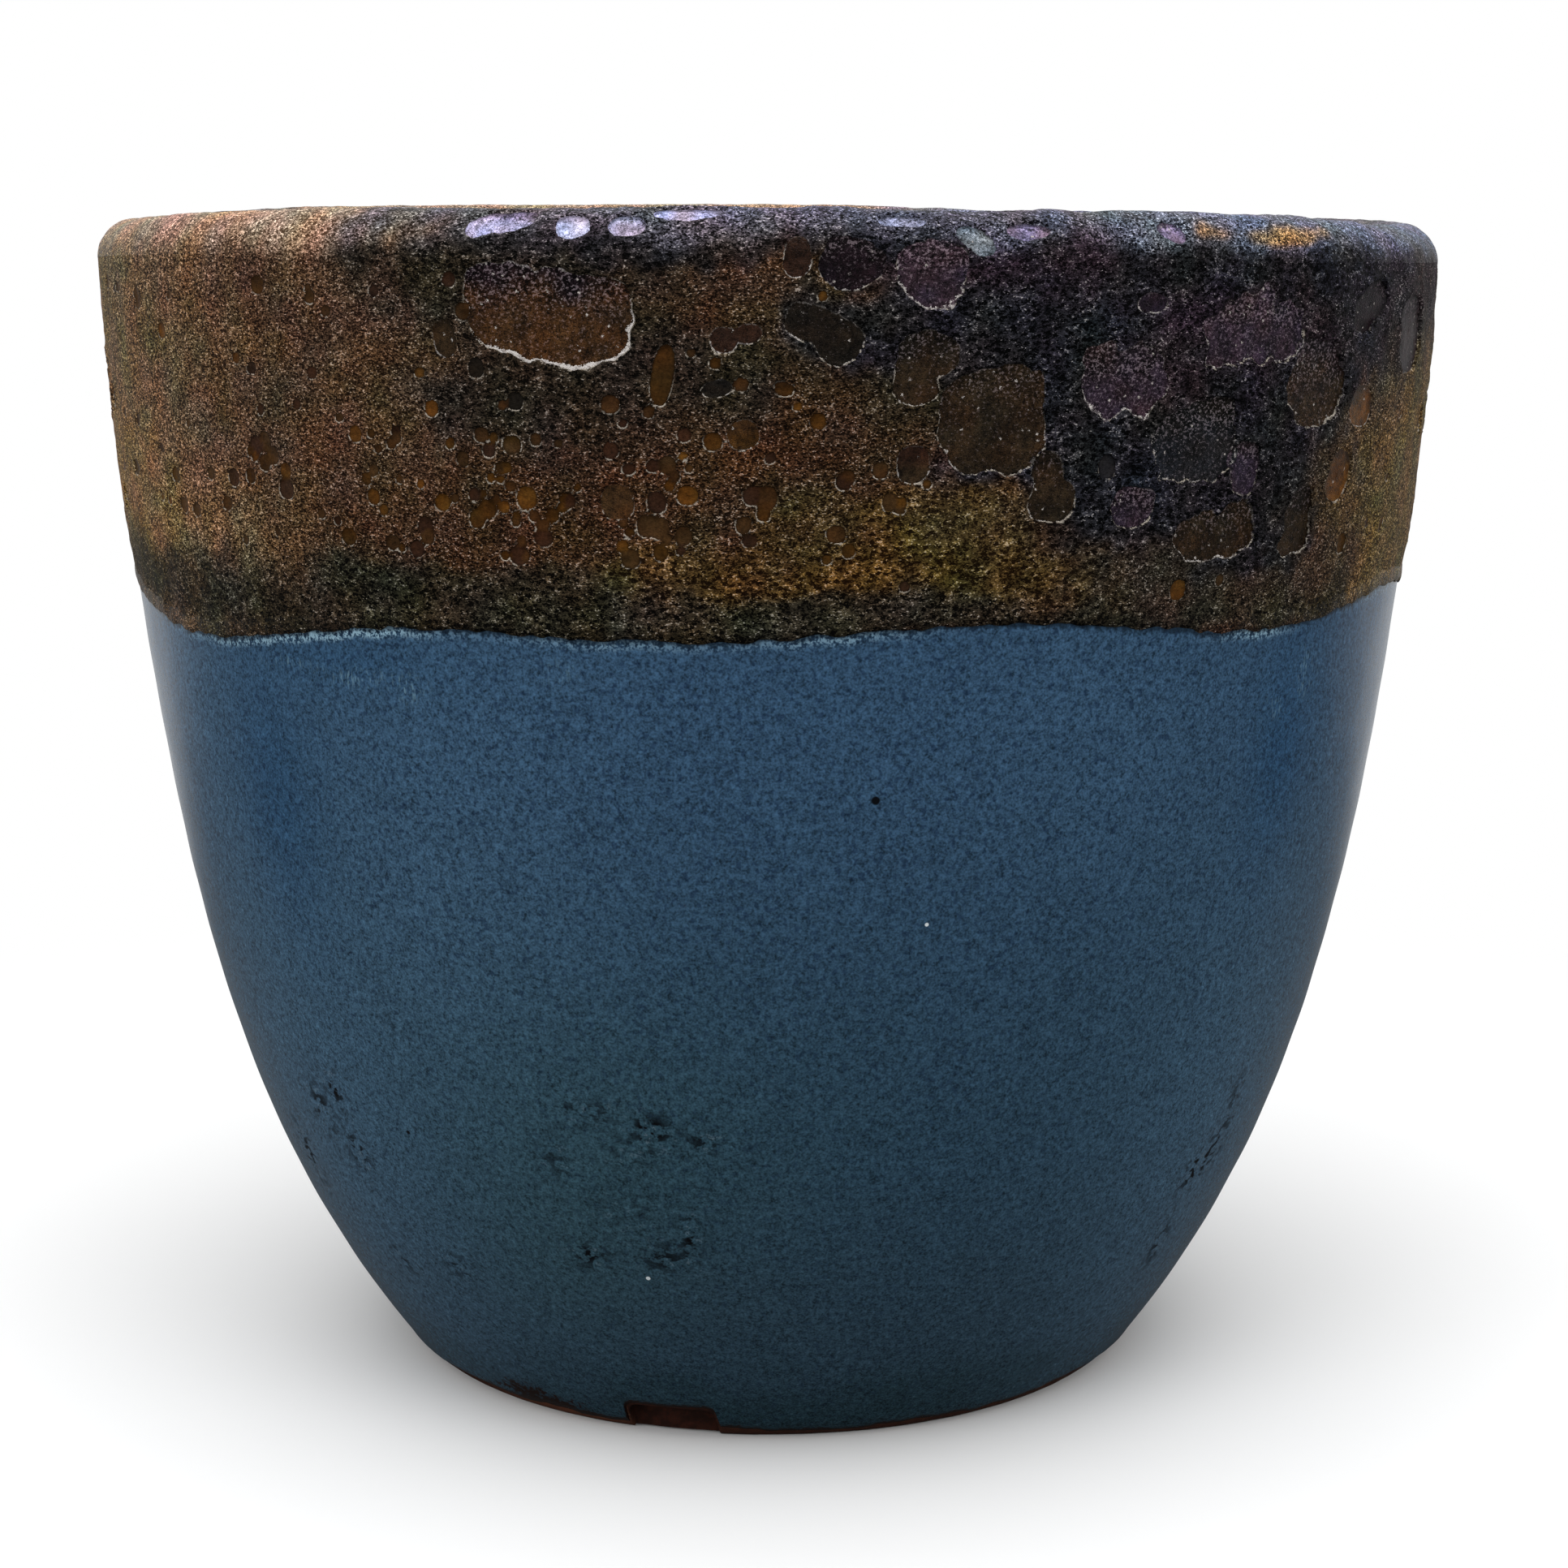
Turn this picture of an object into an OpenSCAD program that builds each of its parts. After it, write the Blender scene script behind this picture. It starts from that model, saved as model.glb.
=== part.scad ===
// Tapered stoneware planter with a rounded lip, a notched foot ring and a drainage hole.
// A smooth blue glaze coats the lower outside, a thick cratered lava glaze the upper
// outside, and a glossier glaze rolls over the lip and laps a little way down the inside.
// Millimetres. The origin is the centre of the foot's underside, +Z is up and the front
// faces -Y. An azimuth is in degrees from the front, positive towards +X.

/* [Overall] */
// Outside diameter at the rim, over the glaze
rim_d = 400; // [384:1:430]
// Height from the ground to the top of the lip
pot_h = 350; // [330:1:400]
// Diameter of the clay where it meets the ground
foot_d = 224; // [200:1:250]

/* [Wall curve] */
// Radius that the clay outline bends towards a quarter of the way up
low_bend_r = 178; // [160:1:190]
// Radius that the clay outline bends towards half of the way up
mid_bend_r = 180; // [170:1:195]
// Radius that the clay outline bends towards three quarters of the way up
high_bend_r = 196; // [185:1:205]

/* [Clay] */
// Thickness of the wall, measured level
wall_t = 18; // [14:0.5:24]
// Thickness of the floor
floor_t = 16; // [12:1:24]
// Height of the foot ring, which is also the height of the floor's underside
foot_h = 14; // [13:0.5:20]
// Thickness of the foot ring at the ground, measured level
foot_ring_t = 20; // [16:1:30]
// Diameter of the drainage hole through the floor
drain_hole_d = 25; // [15:1:40]

/* [Foot notches] */
// Number of notches that let water out under the foot ring
notch_count = 3; // [2:1:5]
// Width of a notch
notch_w = 26; // [16:1:34]
// Height of a notch above the ground
notch_h = 10; // [6:0.5:12]
// Azimuth of the first notch
notch_azimuth = -14; // [-60:1:60]

/* [Glaze] */
// Thickness of the blue glaze
blue_glaze_t = 1; // [0.6:0.1:1.6]
// Height of bare clay left below the blue glaze
bare_foot_h = 3; // [2:0.5:6]
// Thickness of the lava glaze on the outside and over the lip
lava_glaze_t = 2.2; // [2:0.1:3.5]
// Depth of the lava glaze, from the top of the lip down to the line where it ends
lava_depth = 110; // [100:1:150]
// Height of the rolled edge
glaze_roll_h = 6; // [4:0.5:10]
// How far the rolled edge stands out from the blue glaze under it
glaze_roll_t = 1.8; // [1.2:0.1:3]
// How far the lip glaze laps down the inside, below the lip's rounding
inner_lap_h = 40; // [20:1:80]

/* [Craters] */
// How far the glassy pools lie below the surface of the lava glaze
pool_recess = 0.8; // [0.4:0.1:1.2]
// Width of the large round crater
large_crater_w = 30; // [24:1:36]
// Number of further pools round the sides and back
back_pool_count = 14; // [6:1:16]
// Usual width of a further pool
back_pool_w = 17; // [12:1:20]
// How much wider or narrower than that a further pool can be
back_pool_vary = 6; // [0:1:8]

/* [Hidden] */

// Straight steps that the wall's curve is drawn in
curve_steps = 30;
// Smoothness of round shapes
round_fn = 128;
// Smoothness of a bubble
bubble_fn = 24;
// Most that the centres of merged bubbles lie apart, as a share of their diameter
bubble_overlap = 0.6;
// How far a cutting shape runs past what it cuts
cut_past = 1;

clay_rim_r = rim_d / 2 - lava_glaze_t;
lip_r = wall_t / 2;
// The height at which the wall's curve ends and the half-round lip starts
shoulder_h = pot_h - lava_glaze_t - lip_r;
glaze_line_h = pot_h - lava_depth;
lava_base_h = glaze_line_h + glaze_roll_h;
lip_centre = [clay_rim_r - lip_r, shoulder_h];

// The main pools at the front: azimuth, drop below the top of the lip as a share of the
// lava glaze's depth, and width and height as shares of the large crater's width
FRONT_POOLS = [
    [-16, 0.25, 1.5, 0.8], [-7.5, 0.37, 0.2, 0.55], [-2.5, 0.29, 0.4, 0.2],
    [4, 0.27, 0.6, 0.5], [-19, 0.54, 0.2, 0.2], [-11, 0.65, 0.3, 0.3],
    [-2, 0.51, 0.3, 0.25], [16, 0.47, 1, 1], [21.5, 0.64, 0.45, 0.6],
    [27.5, 0.4, 0.75, 0.65], [28.5, 0.68, 0.45, 0.35], [34, 0.55, 0.75, 0.65],
    [37, 0.77, 1, 0.55], [39, 0.28, 1.25, 0.75], [46, 0.76, 0.45, 0.65],
    [48, 0.44, 0.4, 0.85], [55, 0.23, 0.75, 0.5], [64, 0.31, 0.75, 0.8]
];
// The first and last azimuth of the further pools
back_from = 80;
back_to = 282;
// Height of a further pool as a share of its width
back_pool_squat = 0.85;
// Turns per pool, in degrees, that scatter the heights and widths of the further pools
height_turn = 137;
width_turn = 97;

// The point at share t of a curve that bends towards each control value in turn
function bend(controls, t) =
    len(controls) == 1
        ? controls[0]
        : bend([for (i = [1 : len(controls) - 1]) (1 - t) * controls[i - 1] + t * controls[i]], t);

CONTROLS = [foot_d / 2, low_bend_r, mid_bend_r, high_bend_r, clay_rim_r];
OUTLINE = [for (i = [0 : curve_steps]) [shoulder_h * i / curve_steps, bend(CONTROLS, i / curve_steps)]];

// The clay's outside radius at a height
function clay_r(z) = lookup(z, OUTLINE);

// The outline's own heights between two levels, with both levels
function levels(low, high) =
    concat([low], [for (p = OUTLINE) if (p[0] > low && p[0] < high) p[0]], [high]);

// A line up or down the wall, at a distance outside the clay
function wall_line(low, high, out) = [for (z = levels(low, high)) [clay_r(z) + out, z]];

function reversed(points) = [for (i = [len(points) - 1 : -1 : 0]) points[i]];

// The upright section of a skin of the wall, from inside to outside distance
module skin_section(low, high, inside, outside)
    polygon(concat(wall_line(low, high, outside), reversed(wall_line(low, high, inside))));

module turned() rotate_extrude($fn = round_fn) children();

// The upper half of a disc round the lip's centre
module lip_half(radius)
    intersection() {
        translate(lip_centre) circle(r = radius, $fn = round_fn);
        translate([lip_centre.x - 2 * wall_t, shoulder_h]) square([4 * wall_t, 2 * wall_t]);
    }

// Moves a shape that points along +Z at the origin out to an azimuth, pointing outwards
module facing(azimuth, height)
    rotate([0, 0, azimuth]) translate([0, 0, height]) rotate([90, 0, 0]) children();

// A straight column whose outline is a row of merged round bubbles, as wide and as high as given
module bubble_column(width, height, depth) {
    bubble_d = min(width, height);
    travel = max(width, height) - bubble_d;
    count = 1 + ceil(travel / bubble_d / bubble_overlap);
    for (i = [0 : count - 1])
        rotate([0, 0, width >= height ? 0 : 90])
            translate([count > 1 ? travel * (i / (count - 1) - 0.5) : 0, 0, 0])
                cylinder(d = bubble_d, h = depth, $fn = bubble_fn);
}

// The further pools follow a rule that scatters their drops and widths
function back_pool(i) =
    let (
        azimuth = back_from + (back_to - back_from) * i / (back_pool_count - 1),
        middle = (pot_h - shoulder_h + pot_h - lava_base_h) / 2,
        scatter = (shoulder_h - lava_base_h) / 4,
        drop = middle + scatter * sin(i * height_turn),
        width = back_pool_w + back_pool_vary * sin(i * width_turn)
    )
    [azimuth, drop, width, width * back_pool_squat];

// A front pool with its drop, width and height in millimetres
function front_pool(pool) =
    [pool[0], pool[1] * lava_depth, pool[2] * large_crater_w, pool[3] * large_crater_w];

POOLS = concat(
    [for (pool = FRONT_POOLS) front_pool(pool)],
    [for (i = [0 : back_pool_count - 1]) back_pool(i)]
);

// Straight columns that cross the wall where the pools lie
module pool_columns()
    for (pool = POOLS)
        facing(pool[0], pot_h - pool[1])
            translate([0, 0, clay_rim_r - wall_t])
                bubble_column(pool[2], pool[3], 2 * wall_t);

module notches()
    for (i = [0 : notch_count - 1])
        rotate([0, 0, notch_azimuth + 360 * i / notch_count])
            translate([-notch_w / 2, -foot_d, -cut_past])
                cube([notch_w, foot_d, notch_h + cut_past]);

module clay_wall()
    color("#7a4a38")
        turned() {
            skin_section(foot_h, shoulder_h, -wall_t, 0);
            lip_half(lip_r);
        }

module clay_floor()
    color("#845240")
        difference() {
            turned()
                polygon(concat(
                    [[0, foot_h]],
                    wall_line(foot_h, foot_h + floor_t, -wall_t),
                    [[0, foot_h + floor_t]]
                ));
            translate([0, 0, foot_h - cut_past])
                cylinder(d = drain_hole_d, h = floor_t + 2 * cut_past, $fn = round_fn);
        }

module foot_ring()
    color("#6b3b2c")
        difference() {
            turned() skin_section(0, foot_h, -foot_ring_t, 0);
            notches();
        }

module blue_glaze()
    color("#345774")
        difference() {
            turned() skin_section(bare_foot_h, lava_base_h, 0, blue_glaze_t);
            notches();
        }

module glaze_roll()
    color("#1d1a16")
        turned()
            intersection() {
                skin_section(glaze_line_h, lava_base_h, blue_glaze_t, blue_glaze_t + glaze_roll_t);
                translate([clay_r(lava_base_h) + blue_glaze_t + glaze_roll_t - glaze_roll_h, lava_base_h])
                    circle(r = glaze_roll_h, $fn = round_fn);
            }

module lava_glaze()
    color("#5b3a22")
        difference() {
            turned() skin_section(lava_base_h, shoulder_h, 0, lava_glaze_t);
            pool_columns();
        }

module crater_pools()
    color("#8a4a1c")
        intersection() {
            turned() skin_section(lava_base_h, shoulder_h, 0, lava_glaze_t - pool_recess);
            pool_columns();
        }

module lip_glaze()
    color("#4a3a52")
        turned()
            difference() {
                lip_half(lip_r + lava_glaze_t);
                translate(lip_centre) circle(r = lip_r, $fn = round_fn);
            }

module inner_glaze()
    color("#3a3038")
        turned()
            skin_section(shoulder_h - inner_lap_h, shoulder_h, -wall_t - lava_glaze_t, -wall_t);

clay_wall();
clay_floor();
foot_ring();
blue_glaze();
lava_glaze();
glaze_roll();
crater_pools();
lip_glaze();
inner_glaze();
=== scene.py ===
"""Stoneware planter: a blue glazed pot with a thick cratered lava glaze over its rim.

Lengths are in millimetres until they are written to a mesh, which is in metres. The pot
stands on its foot at the origin with +Z up. An azimuth is in degrees from the front (-Y),
positive towards +X. A place on the coats is given by its azimuth and by "along", the
distance over the surface from the crest of the lip: positive down the outside and
negative down the inside.
"""

import logging
import math
from contextlib import contextmanager
from dataclasses import dataclass, field
from enum import Enum
from typing import Any, Callable, Iterable, Iterator, Sequence

import bpy
import numpy as np
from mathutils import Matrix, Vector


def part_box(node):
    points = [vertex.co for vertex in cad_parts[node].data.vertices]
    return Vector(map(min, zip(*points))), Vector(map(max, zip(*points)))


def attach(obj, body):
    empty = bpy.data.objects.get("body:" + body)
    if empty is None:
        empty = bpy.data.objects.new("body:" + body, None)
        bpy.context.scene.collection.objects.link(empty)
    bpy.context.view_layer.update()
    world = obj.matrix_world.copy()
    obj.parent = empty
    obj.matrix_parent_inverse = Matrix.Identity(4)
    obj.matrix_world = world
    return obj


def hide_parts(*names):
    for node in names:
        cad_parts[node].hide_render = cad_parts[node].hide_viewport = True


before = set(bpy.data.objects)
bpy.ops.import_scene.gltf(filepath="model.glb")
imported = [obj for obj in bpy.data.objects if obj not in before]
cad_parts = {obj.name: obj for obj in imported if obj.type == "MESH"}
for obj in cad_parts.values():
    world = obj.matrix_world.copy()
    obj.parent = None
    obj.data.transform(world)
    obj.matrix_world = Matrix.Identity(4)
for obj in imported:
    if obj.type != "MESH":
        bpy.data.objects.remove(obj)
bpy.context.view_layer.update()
MM = 0.001
BODY = "root"

Tone = tuple[float, float, float]
Place = tuple[float, float, float]
Row = tuple[float, ...]
log = logging.getLogger("planter")


def node_mm(name: str) -> np.ndarray:
    """The lowest and highest corners of a CAD node, in millimetres."""
    return np.array([list(corner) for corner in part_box(name)]) / MM


def soft_step(low: float, high: float, value: np.ndarray) -> np.ndarray:
    """A smooth climb from 0 at low to 1 at high; low may be the larger of the two."""
    share = np.clip((value - low) / (high - low), 0.0, 1.0)
    return share * share * (3.0 - 2.0 * share)


def linear(colour: Sequence[float]) -> np.ndarray:
    """The linear light of a display colour given in 0 to 255."""
    share = np.asarray(colour, float) / 255.0
    return np.where(share <= 0.04045, share / 12.92, ((share + 0.055) / 1.055) ** 2.4)


def turn_between(azimuth: np.ndarray, centre: float) -> np.ndarray:
    """The turn from centre to each azimuth, between -180 and 180 degrees."""
    return (np.asarray(azimuth) - centre + 180.0) % 360.0 - 180.0


def repeated(line: np.ndarray, count: int) -> np.ndarray:
    """A line of values, one for each row, repeated in every column."""
    return line[:, None] * np.ones(count)


class Glaze(Enum):
    """Colours of the fired glazes, in 0 to 255, and the painted reflections that colour the lip's
    pale pools.
    """

    AMBER = (60, 39, 19)
    HONEY = (61, 38, 11)
    ORANGE = (84, 52, 15)
    RUSSET = (46, 28, 19)
    BROWN = (42, 30, 17)
    UMBER = (26, 20, 14)
    DEEP_PURPLE = (23, 13, 19)
    PURPLE = (45, 33, 43)
    WINE = (34, 24, 27)
    TAUPE = (34, 23, 26)
    SLATE = (28, 28, 31)
    # painted reflections of light from above, for the pale pools on the lip
    LAVENDER_REFLECTION = (150, 144, 174)
    ICE_REFLECTION = (186, 190, 228)
    MAUVE_REFLECTION = (114, 101, 128)
    PALE_BLUE_REFLECTION = (122, 126, 152)
    SEA_GREY_REFLECTION = (110, 120, 130)
    SOOT = (19, 17, 15)


@dataclass(frozen=True)
class Crust:
    """One look of the lava glaze: its pits, the web between them and how thick its painted glints
    are.
    """

    pit: Tone
    web: Tone
    glint: float
    coarse: float
    relief: float


class Ground(Enum):
    """The looks that the lava glaze takes round the pot."""

    SAND = Crust((36, 22, 10), (148, 119, 84), 0.5, 0.0, 0.6)
    COCOA = Crust((36, 22, 14), (104, 78, 58), 0.5, 0.1, 0.7)
    SOOT = Crust((12, 9, 6), (62, 52, 42), 0.6, 0.6, 1.1)
    RUST = Crust((26, 14, 7), (84, 58, 38), 0.5, 0.2, 0.9)
    HONEY = Crust((32, 18, 4), (106, 83, 42), 0.6, 0.8, 1.0)
    BLUE_BLACK = Crust((4, 5, 7), (48, 48, 54), 0.9, 0.7, 1.8)
    PLUM = Crust((15, 9, 14), (62, 49, 60), 0.9, 0.5, 1.5)
    OCHRE = Crust((48, 34, 14), (128, 106, 66), 0.3, 0.0, 0.6)
    UMBRE = Crust((32, 22, 14), (84, 68, 50), 0.4, 0.2, 0.8)
    OLIVE_BLACK = Crust((8, 7, 5), (66, 60, 46), 1.0, 0.6, 1.0)
    EMBER = Crust((30, 18, 9), (88, 64, 40), 0.6, 0.3, 1.0)
    SMOKE = Crust((22, 18, 21), (62, 56, 58), 0.4, 0.3, 1.0)
    STRAW = Crust((74, 48, 20), (164, 128, 78), 0.5, 0.0, 0.6)
    # the lip's grounds: their own colours, made paler with painted light from above on the lip's
    # top
    LIP_TAN = Crust((90, 64, 42), (194, 162, 134), 0.7, 0.0, 0.6)
    LIP_SMOKE = Crust((15, 14, 18), (100, 96, 110), 1.4, 0.3, 1.1)
    LIP_STEEL = Crust((24, 26, 36), (122, 126, 148), 1.4, 0.3, 1.3)
    LIP_ORANGE = Crust((64, 44, 26), (190, 146, 84), 0.6, 0.3, 0.9)


@dataclass(frozen=True)
class Patch:
    """A soft-edged patch of one ground, with its half width in degrees and half height."""

    ground: Ground
    azimuth: float
    height: float
    half_width: float
    half_height: float
    strength: float


def patches(rows: dict[Ground, tuple[Row, ...]]) -> list[Patch]:
    """Patches from each ground's rows, which hold a Patch's numbers in order."""
    return [Patch(ground, *row) for ground, group in rows.items() for row in group]


FRONT_PATCHES = patches({
    Ground.SAND: ((-84, 300, 14, 60, 2.0), (-62, 300, 16, 60, 1.6), (-49, 268, 12, 14, 1.2)),
    Ground.COCOA: ((-46, 312, 12, 26, 1.4), (-32, 300, 9, 30, 1.6), (-40, 290, 12, 22, 1.2)),
    Ground.STRAW: ((-68, 272, 12, 16, 3.0),),
    Ground.SOOT: (
        (-24, 330, 7, 14, 2.0), (-18, 306, 8, 11, 2.2), (-27, 339, 5, 6, 2.4), (-6, 334, 5, 6, 2.4),
        (-22, 336, 6, 6, 2.0), (-9, 314, 6, 12, 1.8), (-5, 302, 9, 9, 1.2), (-14, 291, 7, 6, 1.4),
        (9, 298, 4, 10, 1.8), (62, 294, 6, 8, 1.2),
    ),
    Ground.BLUE_BLACK: (
        (-14, 341, 13, 4, 4.0), (8, 341, 9, 4, 3.0), (36, 337, 6, 7, 2.6), (50, 338, 8, 6, 2.2),
        (12, 320, 8, 8, 2.6), (20, 320, 8, 16, 2.6), (5, 327, 4, 5, 2.4), (24, 290, 7, 16, 2.8),
        (31, 270, 9, 17, 3.2), (40, 262, 6, 10, 2.6), (33, 326, 8, 10, 2.4), (42, 292, 8, 22, 2.8),
        (52, 324, 10, 14, 2.2), (50, 294, 5, 16, 2.4),
    ),
    Ground.PLUM: (
        (24, 340, 8, 5, 2.4), (22, 334, 9, 6, 2.2), (40, 320, 9, 12, 2.4), (64, 332, 14, 8, 1.6),
    ),
    Ground.EMBER: ((-1, 331, 7, 10, 2.6),),
    Ground.RUST: ((-9, 278, 16, 13, 2.2), (-28, 274, 12, 12, 1.8), (3, 290, 8, 12, 2.0)),
    Ground.HONEY: ((9, 268, 9, 10, 3.4), (-2, 260, 9, 6, 1.4), (18, 259, 9, 8, 3.2)),
    Ground.UMBRE: (
        (16, 270, 5, 6, 2.0), (52, 272, 5, 18, 2.8), (44, 251, 12, 5, 1.8), (30, 255, 7, 5, 2.0),
    ),
    Ground.SMOKE: ((66, 322, 12, 18, 2.6),),
    Ground.OCHRE: ((62, 270, 7, 24, 3.4), (74, 276, 14, 26, 3.4)),
    Ground.OLIVE_BLACK: (
        (-70, 251, 14, 10, 3.8), (-42, 251, 16, 10, 6.0), (-57, 248, 12, 10, 6.0),
        (-20, 249, 14, 9, 4.6), (2, 247, 14, 5, 4.0), (26, 247, 14, 4, 2.4), (44, 246, 8, 5, 2.2),
    ),
})
BACK_PATCHES = patches({
    Ground.OCHRE: ((92, 300, 12, 50, 2.0), (250, 288, 12, 20, 2.0)),
    Ground.PLUM: ((104, 320, 12, 18, 2.0), (194, 318, 12, 16, 2.0)),
    Ground.BLUE_BLACK: ((112, 284, 12, 20, 2.4), (160, 276, 14, 16, 2.2), (174, 308, 12, 22, 2.2)),
    Ground.HONEY: ((124, 262, 14, 12, 2.0), (186, 270, 12, 12, 2.0)),
    Ground.SOOT: ((130, 312, 12, 20, 2.0), (240, 322, 12, 16, 2.0)),
    Ground.RUST: ((142, 290, 12, 18, 2.0), (228, 268, 12, 14, 2.0)),
    Ground.EMBER: ((152, 322, 12, 14, 1.8),),
    Ground.COCOA: ((206, 290, 12, 22, 2.0), (262, 308, 12, 26, 2.0)),
    Ground.SAND: ((220, 310, 12, 26, 2.0),),
    Ground.OLIVE_BLACK: (
        (110, 248, 16, 7, 3.0), (150, 247, 16, 6, 3.0), (200, 249, 18, 8, 3.4),
        (244, 248, 18, 7, 3.0), (270, 248, 12, 7, 3.0),
    ),
})
LIP_PATCHES = patches({
    Ground.LIP_TAN: (
        (-62, 350, 26, 7, 4.0), (-38, 349, 8, 7, 3.5), (-90, 349, 16, 8, 4.0),
        (176, 349, 14, 7, 3.0), (200, 349, 16, 7, 4.0), (224, 349, 16, 7, 3.0),
    ),
    Ground.LIP_SMOKE: (
        (-23, 349, 8, 6.5, 5.0), (-4, 350, 14, 6.5, 4.0), (17, 350, 11, 6.5, 4.0),
        (100, 349, 16, 7, 3.0), (248, 349, 14, 7, 3.0),
    ),
    Ground.LIP_STEEL: (
        (29, 349, 9, 7, 4.0), (56, 349.5, 15, 6.2, 4.0), (78, 349.5, 14, 6.6, 3.0),
        (128, 349, 14, 7, 4.0), (154, 349, 14, 7, 4.0),
    ),
    Ground.LIP_ORANGE: ((40.5, 345.8, 4.5, 1.7, 8.0),),
})


@dataclass(frozen=True)
class Crater:
    """A burst bubble with a glassy pool in it.

    Each lobe is an oval: its offset to the right and up from the crater's middle, its
    width and height, and its tilt in degrees, anticlockwise as seen from outside. The
    rim's painted highlight is strongest at rim_turn degrees to the right of straight down.
    """

    azimuth: float
    height: float
    pool: Glaze
    upper: Glaze
    lobes: tuple[Row, ...]
    rim: float = 1.0
    rough: float = 0.0
    ragged: float = 0.1
    rim_turn: float = -14.0

    @property
    def half_width(self) -> float:
        """How far the lobes reach to either side."""
        return max(abs(lobe[0]) + lobe[2] / 2 for lobe in self.lobes)

    @property
    def half_height(self) -> float:
        """How far the lobes reach up or down."""
        return max(abs(lobe[1]) + lobe[3] / 2 for lobe in self.lobes)

    def reach(self, axis: int) -> float:
        """How far the lobes can reach across (0) or up (1), whatever their tilt."""
        return max(abs(lobe[axis]) + max(lobe[2], lobe[3]) / 2 for lobe in self.lobes)


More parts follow.
